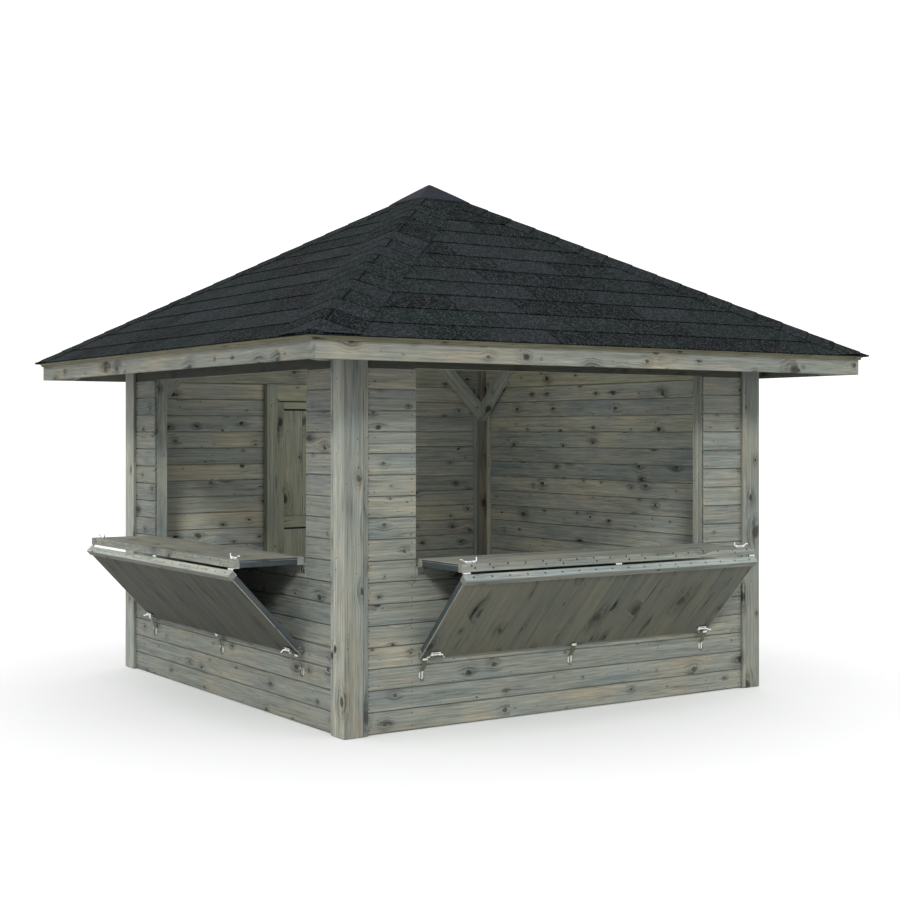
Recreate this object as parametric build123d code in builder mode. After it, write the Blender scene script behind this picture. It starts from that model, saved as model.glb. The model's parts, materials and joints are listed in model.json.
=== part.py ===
from build123d import *
import os
from math import asin, atan2, cos, degrees, hypot, radians, sin, sqrt, tan

# Wooden market hut, in millimetres. The origin is on the ground at the middle of the square plan, +Z is up.
# The front wall faces -Y and the left wall faces -X; each has a serving opening with a fold-out counter.
# The back wall faces +Y and holds the door; the right wall faces +X and is closed.

# Plan and heights
HUT_WIDTH = 3200.0
BEAM_UNDERSIDE = 2070.0
BEAM_HEIGHT = 250.0
BEAM_THICKNESS = 60.0
GROUND_GAP = 5.0

# Posts and the battens that hold the boards between them
POST_SIDE = 127.0
CLADDING_RECESS = 22.0
CLADDING_THICKNESS = 22.0
BATTEN_WIDTH = 27.0
INNER_BATTEN_DEPTH = 31.0

# Serving openings
WALL_MARGIN = 360.0
SILL_HEIGHT = 927.0
STUD_WIDTH = 60.0
STUD_DEPTH = 68.0
STOP_STEP = 12.0
STOP_GAP = 5.0
SILL_RAIL_HEIGHT = 60.0

# Counter leaf and prop leaf of a hatch
LEAF_THICKNESS = 45.0
LEAF_SIDE_GAP = 6.0
LEAF_END_GAP = 3.0
HINGE_RADIUS = 6.0
HINGE_PIN_RADIUS = 2.5
HINGE_BORE_CLEARANCE = 0.3
HINGE_LENGTH = 46.0
HINGE_PLATE = 2.0
HINGE_PLATE_LENGTH = 44.0
HINGE_INSET = 25.0
KNUCKLE_GAP = 1.0
COUNTER_REACH = 458.0
PROP_REST_GAP = 5.0
LEAF_HEAD_GAP = 7.0
RAIL_WIDTH = 42.0
STILE_WIDTH = 24.0
PANEL_RECESS = 6.0

# Galvanised bolts, hasps and staples of a hatch
BOLT_LENGTH = 116.0
BOLT_PLATE_LENGTH = 66.0
BOLT_PLATE_WIDTH = 28.0
BOLT_PLATE_INSET = 16.0
BOLT_ROD_RADIUS = 4.5
BOLT_ROD_CLEARANCE = 1.0
BOLT_KEEPER_LENGTH = 12.0
BOLT_HANDLE_RISE = 24.0
BOLT_NECK_RISE = 13.0
BOLT_NECK_RUN = 16.0
BOLT_TIP = 14.0
BOLT_BEND = 8.0
BOLT_END_INSET = 12.0
BOLT_EDGE_INSET = 48.0
HASP_WIDTH = 34.0
HASP_TOE_WIDTH = 20.0
HASP_DROP = 68.0
HASP_PLATE = 2.5
HASP_PLATE_HEIGHT = 14.0
HASP_KNUCKLE_RADIUS = 4.0
HASP_PIVOT_GAP = 2.0
RING_LENGTH = 58.0
RING_WIDTH = 26.0
RING_WIRE = 4.0
RING_STANDOFF = 12.0
STAPLE_PLATE_HEIGHT = 44.0
STAPLE_PLATE_WIDTH = 30.0
PEG_RADIUS = 4.0

# Door and its frame
DOOR_FRAME_OUTER = 1000.0
DOOR_FRAME_WIDTH = 85.0
DOOR_FRAME_DEPTH = 90.0
DOOR_FRAME_PROUD = 12.0
DOOR_HEAD_HEIGHT = 115.0
DOOR_GAP = 7.0
DOOR_THICKNESS = 45.0
DOOR_BOTTOM_GAP = 15.0
DOOR_STILE = 75.0
DOOR_TOP_RAIL = 65.0
DOOR_MID_RAIL = 88.0
DOOR_MID_RAIL_TOP = 1055.0
DOOR_BOTTOM_RAIL = 140.0
DOOR_PANEL_THICKNESS = 21.0
DOOR_STOP_DEPTH = 40.0
DOOR_HINGE_INSET = 220.0
DOOR_KNOB_HEIGHT = 1010.0
KNOB_ROSE_RADIUS = 27.0
KNOB_ROSE_DEPTH = 4.0
KNOB_NECK_RADIUS = 9.0
KNOB_NECK_DEPTH = 32.0
KNOB_RADIUS = 25.0
KNOB_DEPTH = 26.0
KNOB_ROUNDING = 8.0

# Knee braces between post and beam
BRACE_WIDTH = 112.0
BRACE_DROP = 274.0
BRACE_LAP = 180.0

# Roof
ROOF_PITCH = 29.7
EAVE_OVERHANG = 503.0
ROOF_SEAT_RISE = 177.0
SHINGLE_DEPTH = 10.0
ROOF_BOARD_DEPTH = 19.0
ROOF_BOARD_SETBACK = 16.0
FASCIA_SETBACK = 48.0
FASCIA_THICKNESS = 25.0
FASCIA_DROP = 127.0
RAFTER_WIDTH = 60.0
RAFTER_DEPTH = 160.0
RAFTER_SPACING = 600.0
RAFTERS_PER_SIDE = 4
HIP_RAFTER_WIDTH = 60.0
HIP_RAFTER_HEIGHT = 205.0
KING_SIDE = 120.0
KING_HEIGHT = 300.0
HIP_CAP_HALF = 172.0
FRONT_LEFT_CAP_HALF = 225.0
HIP_CAP_DEPTH = 8.0
ROOF_CAP_HALF = 205.0
ROOF_CAP_DEPTH = 14.0

# Values worked out from the sizes above
HALF = HUT_WIDTH / 2
POST_INNER = HALF - POST_SIDE
CLADDING_FACE = HALF - CLADDING_RECESS
CLADDING_BACK = CLADDING_FACE - CLADDING_THICKNESS
OPENING_HALF = POST_INNER - WALL_MARGIN
HINGE_LINE = CLADDING_FACE + HINGE_RADIUS
HINGE_HEIGHT = SILL_HEIGHT + LEAF_END_GAP
LEAF_HALF = OPENING_HALF - LEAF_SIDE_GAP
PROP_LENGTH = BEAM_UNDERSIDE - LEAF_HEAD_GAP - HINGE_HEIGHT - COUNTER_REACH
PROP_SPAN = HINGE_LINE + COUNTER_REACH - CLADDING_FACE - PROP_REST_GAP
PROP_LEAN = asin(PROP_SPAN / hypot(PROP_LENGTH, HINGE_RADIUS)) + atan2(HINGE_RADIUS, PROP_LENGTH)
PROP_FOLD = 90 + degrees(PROP_LEAN)
LEAF_BOTTOM = HINGE_RADIUS
LEAF_TOP = HINGE_RADIUS + LEAF_THICKNESS
ROOF_TAN = tan(radians(ROOF_PITCH))
ROOF_COS = cos(radians(ROOF_PITCH))
EAVE_HALF = HALF + EAVE_OVERHANG
BOARDS_HALF = EAVE_HALF - ROOF_BOARD_SETBACK
FASCIA_HALF = EAVE_HALF - FASCIA_SETBACK
FASCIA_INNER = FASCIA_HALF - FASCIA_THICKNESS
BOARD_UNDERSIDE = SHINGLE_DEPTH + ROOF_BOARD_DEPTH
BEAM_TOP = BEAM_UNDERSIDE + BEAM_HEIGHT
EAVE_TOP = BEAM_TOP + ROOF_SEAT_RISE - EAVE_OVERHANG * ROOF_TAN
FASCIA_BOTTOM = EAVE_TOP - FASCIA_DROP
BRACE_FOOT = BEAM_UNDERSIDE - BRACE_DROP
BRACE_HEAD = BEAM_UNDERSIDE + BRACE_LAP
BEAM_BACK = CLADDING_FACE - BEAM_THICKNESS
DOOR_OPENING_HALF = DOOR_FRAME_OUTER / 2 - DOOR_FRAME_WIDTH
DOOR_LEAF_HALF = DOOR_OPENING_HALF - DOOR_GAP
DOOR_FACE = CLADDING_FACE + DOOR_FRAME_PROUD
DOOR_HEAD_UNDERSIDE = BEAM_UNDERSIDE - DOOR_HEAD_HEIGHT
DOOR_TOP = DOOR_HEAD_UNDERSIDE - DOOR_GAP
DOOR_HINGE_LOW = DOOR_BOTTOM_GAP + DOOR_HINGE_INSET
DOOR_HINGE_HIGH = DOOR_TOP - DOOR_HINGE_INSET
SIDE_TURN = {"front": 0.0, "right": 90.0, "back": 180.0, "left": -90.0}

os.makedirs("parts", exist_ok=True)


def save(part, name):
    """Labels a finished piece and writes its file."""
    part.label = name
    export_step(part, f"parts/{name}.step")


def level(side, height=0.0):
    """The level plane of a wall: x runs along the wall, y points into the hut."""
    return Plane.XY.rotated((0, 0, SIDE_TURN[side])).offset(height)


def across(side, run=0.0):
    """The upright plane square to a wall at a distance along it: x points into the hut, y points up."""
    base = level(side)
    return Plane(origin=base.x_dir * run, x_dir=base.y_dir, z_dir=base.x_dir)


def leaf_plane(side, run, reach, fold):
    """The plane square to a hatch's hinges: x away from the hinge, y from the outer to the inner face."""
    base = level(side)
    away = base.y_dir * -cos(radians(fold)) - Vector(0, 0, sin(radians(fold)))
    start = base.x_dir * run - base.y_dir * (HINGE_LINE + reach) + Vector(0, 0, HINGE_HEIGHT)
    return Plane(origin=start, x_dir=away, z_dir=base.x_dir * -1)


def slab(plane, low, high, depth):
    """A plain timber: the rectangle from low to high on a plane, drawn out by depth."""
    with BuildPart() as timber:
        with BuildSketch(plane):
            with Locations(((low[0] + high[0]) / 2, (low[1] + high[1]) / 2)):
                Rectangle(high[0] - low[0], high[1] - low[1])
        extrude(amount=depth)
    return timber.part


def roof_line(half, drop=0.0):
    """Height of the plane that lies a drop below the shingle faces, at a distance from the middle."""
    return EAVE_TOP + (EAVE_HALF - half) * ROOF_TAN - drop / ROOF_COS


def pyramid(half, drop, bottom):
    """The solid under a hip roof: two crossed gables cut to each other."""
    outline = [(-half, bottom), (-half, roof_line(half, drop)), (0, roof_line(0, drop))]
    outline += [(half, roof_line(half, drop)), (half, bottom)]
    with BuildPart() as body:
        with BuildSketch(Plane.YZ):
            Polygon(outline, align=None)
        extrude(amount=half, both=True)
        with BuildSketch(Plane.XZ):
            Polygon(outline, align=None)
        extrude(amount=half, both=True, mode=Mode.INTERSECT)
    return body.part


def roof_side(side, half, top_drop, bottom_drop):
    """One triangular side of the roof, between two planes that follow the pitch."""
    outline = [(-half, roof_line(half, top_drop)), (0, roof_line(0, top_drop))]
    outline += [(0, roof_line(0, bottom_drop)), (-half, roof_line(half, bottom_drop))]
    with BuildPart() as skin:
        with BuildSketch(across(side)):
            Polygon(outline, align=None)
        extrude(amount=half, both=True)
        with BuildSketch(level(side)):
            Polygon([(-half, -half), (half, -half), (0, 0)], align=None)
        extrude(amount=roof_line(0) + half, mode=Mode.INTERSECT)
    return skin.part


# Corner posts
with BuildPart() as corner_posts:
    with BuildSketch(Plane.XY):
        with GridLocations(HUT_WIDTH - POST_SIDE, HUT_WIDTH - POST_SIDE, 2, 2):
            Rectangle(POST_SIDE, POST_SIDE)
    extrude(amount=BEAM_TOP)
save(corner_posts.part, "corner_posts")

# Battens beside the posts, outside and inside the boards
outer_battens = []
inner_battens = []
for side in SIDE_TURN:
    for hand in (-1, 1):
        edges = sorted((hand * POST_INNER, hand * (POST_INNER - BATTEN_WIDTH)))
        outer_battens.append(
            slab(
                level(side, GROUND_GAP),
                (edges[0], -HALF),
                (edges[1], -CLADDING_FACE),
                BEAM_TOP - GROUND_GAP,
            )
        )
        inner_battens.append(
            slab(
                level(side, GROUND_GAP),
                (edges[0], -CLADDING_BACK),
                (edges[1], INNER_BATTEN_DEPTH - CLADDING_BACK),
                BEAM_UNDERSIDE - GROUND_GAP,
            )
        )
with BuildPart() as outer_batten_set:
    add(outer_battens)
save(outer_batten_set.part, "outer_battens")
with BuildPart() as inner_batten_set:
    add(inner_battens)
save(inner_batten_set.part, "inner_battens")

# Beams round the wall heads, between the posts and in line with the boards
beams = []
for side in SIDE_TURN:
    seat = level(side, BEAM_UNDERSIDE)
    beams.append(slab(seat, (-POST_INNER, -CLADDING_FACE), (POST_INNER, -BEAM_BACK), BEAM_HEIGHT))
with BuildPart() as beam_set:
    add(beams)
save(beam_set.part, "beams")


# Boarded walls
def boarding(side, low, high, bottom, top):
    """A stretch of horizontal boarding between two points along a wall."""
    return slab(level(side, bottom), (low, -CLADDING_FACE), (high, -CLADDING_BACK), top - bottom)


for side in ("front", "left"):
    margins = [
        boarding(side, -POST_INNER, -OPENING_HALF, GROUND_GAP, BEAM_UNDERSIDE),
        boarding(side, OPENING_HALF, POST_INNER, GROUND_GAP, BEAM_UNDERSIDE),
    ]
    with BuildPart() as wall_margins:
        add(margins)
    save(wall_margins.part, f"{side}_wall_margins")
    with BuildPart() as wall_below:
        add(boarding(side, -OPENING_HALF, OPENING_HALF, GROUND_GAP, SILL_HEIGHT))
    save(wall_below.part, f"{side}_wall_below_opening")

back_boards = [
    boarding("back", -POST_INNER, -DOOR_FRAME_OUTER / 2, GROUND_GAP, BEAM_UNDERSIDE),
    boarding("back", DOOR_FRAME_OUTER / 2, POST_INNER, GROUND_GAP, BEAM_UNDERSIDE),
]
with BuildPart() as back_wall:
    add(back_boards)
save(back_wall.part, "back_wall")
with BuildPart() as right_wall:
    add(boarding("right", -POST_INNER, POST_INNER, GROUND_GAP, BEAM_UNDERSIDE))
save(right_wall.part, "right_wall")

# Studs beside the serving openings, rebated so that the closed leaves stop against them, and sill rails
opening_studs = []
sill_rails = []
for side in ("front", "left"):
    for hand in (-1, 1):
        outline = [
            (hand * OPENING_HALF, -CLADDING_BACK),
            (hand * OPENING_HALF, -CLADDING_FACE + LEAF_THICKNESS + STOP_GAP),
            (hand * (OPENING_HALF - STOP_STEP), -CLADDING_FACE + LEAF_THICKNESS + STOP_GAP),
            (hand * (OPENING_HALF - STOP_STEP), -CLADDING_BACK + STUD_DEPTH),
            (hand * (OPENING_HALF + STUD_WIDTH), -CLADDING_BACK + STUD_DEPTH),
            (hand * (OPENING_HALF + STUD_WIDTH), -CLADDING_BACK),
        ]
        with BuildPart() as stud:
            with BuildSketch(level(side, GROUND_GAP)):
                Polygon(outline, align=None)
            extrude(amount=BEAM_UNDERSIDE - GROUND_GAP)
        opening_studs.append(stud.part)
    sill_rails.append(
        slab(
            level(side, SILL_HEIGHT - SILL_RAIL_HEIGHT),
            (-OPENING_HALF + STOP_STEP, -CLADDING_BACK),
            (OPENING_HALF - STOP_STEP, -CLADDING_BACK + STUD_DEPTH),
            SILL_RAIL_HEIGHT,
        )
    )
with BuildPart() as stud_set:
    add(opening_studs)
save(stud_set.part, "opening_studs")
with BuildPart() as sill_rail_set:
    add(sill_rails)
save(sill_rail_set.part, "sill_rails")


# Knee braces, two at each corner, in the planes of the walls
def knee_brace(side, hand):
    """A 45 degree brace from a post's side up across the back of the beam."""
    rise = BRACE_HEAD - BRACE_FOOT
    wide = BRACE_WIDTH * sqrt(2)
    outline = [
        (hand * POST_INNER, BRACE_FOOT),
        (hand * POST_INNER, BRACE_FOOT + wide),
        (hand * (POST_INNER - rise + wide), BRACE_HEAD),
        (hand * (POST_INNER - rise), BRACE_HEAD),
    ]
    base = level(side)
    face = Plane(origin=base.y_dir * -BEAM_BACK, x_dir=base.x_dir, z_dir=base.y_dir * -1)
    with BuildPart() as brace:
        with BuildSketch(face):
            Polygon(outline, align=None)
        extrude(amount=-(BEAM_BACK - POST_INNER))
    return brace.part


braces = [knee_brace(side, hand) for side in SIDE_TURN for hand in (-1, 1)]
with BuildPart() as knee_braces:
    add(braces)
save(knee_braces.part, "knee_braces")

# Roof: boards, shingles, hip covers and the cap at the top
for side in SIDE_TURN:
    with BuildPart() as roof_boards:
        add(roof_side(side, BOARDS_HALF, SHINGLE_DEPTH, BOARD_UNDERSIDE))
    save(roof_boards.part, f"roof_boards_{side}")
    with BuildPart() as shingles:
        add(roof_side(side, EAVE_HALF, 0, SHINGLE_DEPTH))
    save(shingles.part, f"roof_shingles_{side}")

hip_cover_top = pyramid(EAVE_HALF, -HIP_CAP_DEPTH, EAVE_TOP - HUT_WIDTH)
shingle_top = pyramid(EAVE_HALF, 0, EAVE_TOP - HUT_WIDTH)
cap_outside = pyramid(ROOF_CAP_HALF, -HIP_CAP_DEPTH - ROOF_CAP_DEPTH, EAVE_TOP - HUT_WIDTH)
with BuildPart() as hip_caps:
    for turn in (45, 135, 225, 315):
        cap_half = FRONT_LEFT_CAP_HALF if turn == 225 else HIP_CAP_HALF
        with BuildSketch(Plane.XY.rotated((0, 0, turn))):
            Rectangle(2 * EAVE_HALF, 2 * cap_half, align=(Align.MIN, Align.CENTER))
        extrude(amount=roof_line(0) * 2)
    add(hip_cover_top, mode=Mode.INTERSECT)
    add(shingle_top, mode=Mode.SUBTRACT)
    add(cap_outside, mode=Mode.SUBTRACT)
save(hip_caps.part, "hip_caps")
with BuildPart() as roof_cap:
    add(cap_outside)
    add(shingle_top, mode=Mode.SUBTRACT)
save(roof_cap.part, "roof_cap")


# Fascia boards under the eaves: the left and right ones cover the ends of the others
def fascia(side, half_length):
    """A fascia board with its top bevelled to the roof boards."""
    outline = [
        (-FASCIA_HALF, FASCIA_BOTTOM),
        (-FASCIA_HALF, roof_line(FASCIA_HALF, BOARD_UNDERSIDE)),
        (-FASCIA_INNER, roof_line(FASCIA_INNER, BOARD_UNDERSIDE)),
        (-FASCIA_INNER, FASCIA_BOTTOM),
    ]
    with BuildPart() as board:
        with BuildSketch(across(side)):
            Polygon(outline, align=None)
        extrude(amount=half_length, both=True)
    return board.part


under_boards = pyramid(FASCIA_HALF, BOARD_UNDERSIDE, 0)
for name, sides, half_length in (
    ("fascia_left_right", ("left", "right"), FASCIA_HALF),
    ("fascia_front_back", ("front", "back"), FASCIA_INNER),
):
    boards = [fascia(side, half_length) for side in sides]
    with BuildPart() as fascia_pair:
        add(boards)
        add(under_boards, mode=Mode.INTERSECT)
    save(fascia_pair.part, name)

# Rafters: four hips that meet at a king block, and jack rafters between them
under_roof = pyramid(FASCIA_INNER, BOARD_UNDERSIDE, 0)
beam_ring = [corner_posts.part]
for side in SIDE_TURN:
    beam_ring.append(slab(level(side, 0), (-HALF, -HALF), (HALF, -BEAM_BACK), BEAM_TOP))

with BuildPart() as king_block:
    with BuildSketch(Plane.XY.offset(roof_line(0, BOARD_UNDERSIDE) - KING_HEIGHT)):
        Rectangle(KING_SIDE, KING_SIDE, rotation=45)
    extrude(amount=KING_HEIGHT)
    add(under_roof, mode=Mode.INTERSECT)
save(king_block.part, "king_block")


def hip_rafter(turn):
    """A hip rafter along a diagonal, backed to the roof boards and notched over the beams."""
    start = KING_SIDE / 2
    end = FASCIA_INNER * sqrt(2)
    outline = [
        (start, roof_line(start / sqrt(2), BOARD_UNDERSIDE)),
        (end, roof_line(end / sqrt(2), BOARD_UNDERSIDE)),
        (end, FASCIA_BOTTOM),
        (end - HIP_RAFTER_HEIGHT, FASCIA_BOTTOM),
        (start, roof_line(start / sqrt(2), BOARD_UNDERSIDE) - HIP_RAFTER_HEIGHT),
    ]
    along = Plane(
        origin=(0, 0, 0),
        x_dir=(cos(radians(turn)), sin(radians(turn)), 0),
        z_dir=(sin(radians(turn)), -cos(radians(turn)), 0),
    )
    with BuildPart() as hip:
        with BuildSketch(along):
            Polygon(outline, align=None)
        extrude(amount=HIP_RAFTER_WIDTH / 2, both=True)
        add(under_roof, mode=Mode.INTERSECT)
        add(beam_ring, mode=Mode.SUBTRACT)
    return hip.part


hips = [hip_rafter(45 + 90 * quarter) for quarter in range(4)]
with BuildPart() as hip_rafters:
    add(hips)
save(hip_rafters.part, "hip_rafters")


def jack_rafter(side, run):
    """A rafter from the fascia up to the hip, cut to the hip's side and notched over the beam."""
    top = BOARD_UNDERSIDE
    bottom = BOARD_UNDERSIDE + RAFTER_DEPTH
    tail = FASCIA_INNER - RAFTER_DEPTH
    hip_side = HIP_RAFTER_WIDTH / sqrt(2)
    tip = FASCIA_INNER - hip_side
    outline = [
        (-FASCIA_INNER, roof_line(FASCIA_INNER, top)),
        (0, roof_line(0, top)),
        (0, roof_line(0, bottom)),
        (-tail, roof_line(tail, bottom)),
        (-FASCIA_INNER, roof_line(tail, bottom)),
    ]
    with BuildPart() as jack:
        with BuildSketch(across(side, run - RAFTER_WIDTH / 2)):
            Polygon(outline, align=None)
        extrude(amount=RAFTER_WIDTH)
        with BuildSketch(level(side)):
            Polygon([(-tip, -FASCIA_INNER), (tip, -FASCIA_INNER), (0, -hip_side)], align=None)
        extrude(amount=roof_line(0), mode=Mode.INTERSECT)
        add(beam_ring, mode=Mode.SUBTRACT)
    return jack.part


jacks = []
for side in SIDE_TURN:
    for index in range(RAFTERS_PER_SIDE):
        jacks.append(jack_rafter(side, (index - (RAFTERS_PER_SIDE - 1) / 2) * RAFTER_SPACING))
with BuildPart() as jack_rafters:
    add(jacks)
save(jack_rafters.part, "jack_rafters")

# Door frame: two jambs and a head between them, rebated for the door
door_jambs = []
for hand in (-1, 1):
    outline = [
        (hand * DOOR_FRAME_OUTER / 2, -DOOR_FACE),
        (hand * DOOR_OPENING_HALF, -DOOR_FACE),
        (hand * DOOR_OPENING_HALF, DOOR_FRAME_DEPTH - DOOR_STOP_DEPTH - DOOR_FACE),
        (hand * (DOOR_OPENING_HALF - STOP_STEP), DOOR_FRAME_DEPTH - DOOR_STOP_DEPTH - DOOR_FACE),
        (hand * (DOOR_OPENING_HALF - STOP_STEP), DOOR_FRAME_DEPTH - DOOR_FACE),
        (hand * DOOR_FRAME_OUTER / 2, DOOR_FRAME_DEPTH - DOOR_FACE),
    ]
    with BuildPart() as jamb:
        with BuildSketch(level("back")):
            Polygon(outline, align=None)
        extrude(amount=BEAM_UNDERSIDE)
    door_jambs.append(jamb.part)
with BuildPart() as jamb_pair:
    add(door_jambs)
save(jamb_pair.part, "door_jambs")

head_outline = [
    (-DOOR_FACE, BEAM_UNDERSIDE),
    (-DOOR_FACE, DOOR_HEAD_UNDERSIDE),
    (DOOR_FRAME_DEPTH - DOOR_STOP_DEPTH - DOOR_FACE, DOOR_HEAD_UNDERSIDE),
    (DOOR_FRAME_DEPTH - DOOR_STOP_DEPTH - DOOR_FACE, DOOR_HEAD_UNDERSIDE - STOP_STEP),
    (DOOR_FRAME_DEPTH - DOOR_FACE, DOOR_HEAD_UNDERSIDE - STOP_STEP),
    (DOOR_FRAME_DEPTH - DOOR_FACE, BEAM_UNDERSIDE),
]
with BuildPart() as door_head:
    with BuildSketch(across("back")):
        Polygon(head_outline, align=None)
    extrude(amount=DOOR_OPENING_HALF, both=True)
    add(door_jambs, mode=Mode.SUBTRACT)
save(door_head.part, "door_head")

# Door: a frame of stiles and rails round two sunk panels
door_panel_heights = (
    (DOOR_BOTTOM_GAP + DOOR_BOTTOM_RAIL, DOOR_MID_RAIL_TOP - DOOR_MID_RAIL),
    (DOOR_MID_RAIL_TOP, DOOR_TOP - DOOR_TOP_RAIL),
)
with BuildPart() as door:
    with BuildSketch(level("back", DOOR_BOTTOM_GAP)):
        with Locations((0, DOOR_THICKNESS / 2 - DOOR_FACE)):
            Rectangle(2 * DOOR_LEAF_HALF, DOOR_THICKNESS)
    extrude(amount=DOOR_TOP - DOOR_BOTTOM_GAP)
    for low, high in door_panel_heights:
        for hollow in (0, DOOR_THICKNESS / 2 + DOOR_PANEL_THICKNESS / 2):
            depth = (DOOR_THICKNESS - DOOR_PANEL_THICKNESS) / 2
            with BuildSketch(level("back", low)):
                with Locations((0, hollow + depth / 2 - DOOR_FACE)):
                    Rectangle(2 * (DOOR_LEAF_HALF - DOOR_STILE), depth)
            extrude(amount=high - low, mode=Mode.SUBTRACT)
save(door.part, "door")


# Hinges: a fixed part with the outer knuckles and the pin, and a moving part with the middle knuckle
def hinge_half(face_plane, plate_along, middle):
    """Half a barrel hinge on the plane square to its pin, which passes through that plane's origin."""
    third = (HINGE_LENGTH - 2 * KNUCKLE_GAP) / 3
    near = -HINGE_LENGTH / 2
    spans = [(near + third + KNUCKLE_GAP, third)] if middle else [(near, third), (-near - third, third)]
    with BuildPart() as half:
        for start, length in spans:
            with BuildSketch(face_plane.offset(start)):
                Circle(HINGE_RADIUS)
                if middle:
                    Circle(HINGE_PIN_RADIUS + HINGE_BORE_CLEARANCE, mode=Mode.SUBTRACT)
            extrude(amount=length)
        with BuildSketch(face_plane.offset(near)):
            Polygon(plate_along, align=None)
        extrude(amount=HINGE_LENGTH)
        if middle:
            for start in (near, near + 2 * third + KNUCKLE_GAP):
                with BuildSketch(face_plane.offset(start)):
                    Circle(HINGE_RADIUS + KNUCKLE_GAP)
                extrude(amount=third + KNUCKLE_GAP, mode=Mode.SUBTRACT)
        else:
            with BuildSketch(face_plane.offset(near + third)):
                Circle(HINGE_RADIUS + KNUCKLE_GAP)
            extrude(amount=third + 2 * KNUCKLE_GAP, mode=Mode.SUBTRACT)
            with BuildSketch(face_plane.offset(near)):
                Circle(HINGE_PIN_RADIUS)
            extrude(amount=HINGE_LENGTH)
    return half.part


def plate_outline(angle, seat):
    """A hinge plate that leaves the barrel at an angle, with its outer face on the seat line."""
    along = Vector(cos(radians(angle)), sin(radians(angle)))
    normal = Vector(-along.Y, along.X) * (1 if seat > 0 else -1)
    inner = normal * (abs(seat) - HINGE_PLATE)
    outer = normal * abs(seat)
    end = along * HINGE_PLATE_LENGTH
    return [(p.X, p.Y) for p in (inner, outer, outer + end, inner + end)]


HINGE_RUNS = (-LEAF_HALF + HINGE_INSET, 0.0, LEAF_HALF - HINGE_INSET)


def bolt(side, reach, fold, s_position, hand):
    """A necked bolt flat on a leaf's inner face: a plate, two keepers, and a rod with a turned-up handle."""
    outer = LEAF_HALF - BOLT_END_INSET
    inner = outer - BOLT_LENGTH
    handle = inner + BOLT_ROD_RADIUS
    plate_middle = inner + BOLT_PLATE_INSET + BOLT_PLATE_LENGTH / 2
    keeper_offset = (BOLT_PLATE_LENGTH - BOLT_KEEPER_LENGTH) / 2
    rod_line = LEAF_TOP + HASP_PLATE + BOLT_ROD_CLEARANCE + BOLT_ROD_RADIUS
    neck_line = rod_line + BOLT_NECK_RISE
    leaf = leaf_plane(side, 0.0, reach, fold)
    outwards = level(side).x_dir * hand
    middle = leaf.origin + leaf.x_dir * s_position
    profile = Plane(origin=middle, x_dir=outwards, z_dir=outwards.cross(leaf.y_dir))
    with BuildPart() as body:
        with BuildSketch(leaf_plane(side, hand * plate_middle, reach, fold)):
            with Locations((s_position, LEAF_TOP + HASP_PLATE / 2)):
                Rectangle(BOLT_PLATE_WIDTH, HASP_PLATE)
        extrude(amount=BOLT_PLATE_LENGTH / 2, both=True)
        for offset in (-keeper_offset, keeper_offset):
            with BuildSketch(leaf_plane(side, hand * (plate_middle + offset), reach, fold)):
                with Locations((s_position, rod_line)):
                    Circle(BOLT_ROD_RADIUS + HASP_PLATE)
                with Locations((s_position, (rod_line + LEAF_TOP) / 2)):
                    Rectangle(2 * (BOLT_ROD_RADIUS + HASP_PLATE), rod_line - LEAF_TOP)
            extrude(amount=BOLT_KEEPER_LENGTH / 2, both=True)
        with BuildLine(profile) as rod:
            FilletPolyline(
                (handle, rod_line + BOLT_HANDLE_RISE),
                (handle, rod_line),
                (outer - BOLT_TIP - BOLT_NECK_RUN, rod_line),
                (outer - BOLT_TIP, neck_line),
                (outer, neck_line),
                radius=BOLT_BEND,
            )
        with BuildSketch(Plane(origin=rod.line @ 0, z_dir=rod.line % 0)):
            Circle(BOLT_ROD_RADIUS)
        sweep(path=rod.line)
    return body.part


def framed_leaf(side, reach, fold, length):
    """A leaf of boards in a frame, its inner face sunk between the frame's rails."""
    with BuildPart() as leaf:
        with BuildSketch(leaf_plane(side, LEAF_HALF, reach, fold)):
            with Locations(((length + LEAF_END_GAP) / 2, (LEAF_BOTTOM + LEAF_TOP) / 2)):
                Rectangle(length - LEAF_END_GAP, LEAF_THICKNESS)
        extrude(amount=2 * LEAF_HALF)
        with BuildSketch(leaf_plane(side, LEAF_HALF - STILE_WIDTH, reach, fold)):
            with Locations(((length + LEAF_END_GAP) / 2, LEAF_TOP - PANEL_RECESS / 2)):
                Rectangle(length - LEAF_END_GAP - 2 * RAIL_WIDTH, PANEL_RECESS)
        extrude(amount=2 * (LEAF_HALF - STILE_WIDTH), mode=Mode.SUBTRACT)
    return leaf.part


def wall_point(s, t):
    """A point of the folded prop leaf, as a distance into the hut and a height."""
    lean = radians(PROP_FOLD)
    into = -HINGE_LINE - COUNTER_REACH - s * cos(lean) - t * sin(lean)
    return into, HINGE_HEIGHT - s * sin(lean) + t * cos(lean)


HASP_PIVOT = (PROP_LENGTH - HASP_KNUCKLE_RADIUS, LEAF_TOP + HASP_KNUCKLE_RADIUS)
HASP_TOP = wall_point(*HASP_PIVOT)
RING_LINE = -CLADDING_FACE - RING_STANDOFF
RING_TOP = HASP_TOP[1] - HASP_DROP + RING_WIRE


def hasp_hinge(side, run):
    """The plate and knuckle of a hasp on the lower edge of the prop leaf."""
    high = run + HASP_WIDTH / 2
    with BuildPart() as fitting:
        with BuildSketch(leaf_plane(side, high, COUNTER_REACH, PROP_FOLD)):
            with Locations(HASP_PIVOT):
                Circle(HASP_KNUCKLE_RADIUS)
            with Locations((HASP_PIVOT[0] - HASP_PLATE_HEIGHT / 2, LEAF_TOP + HASP_PLATE / 2)):
                Rectangle(HASP_PLATE_HEIGHT, HASP_PLATE)
        extrude(amount=HASP_WIDTH)
    return fitting.part


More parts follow.
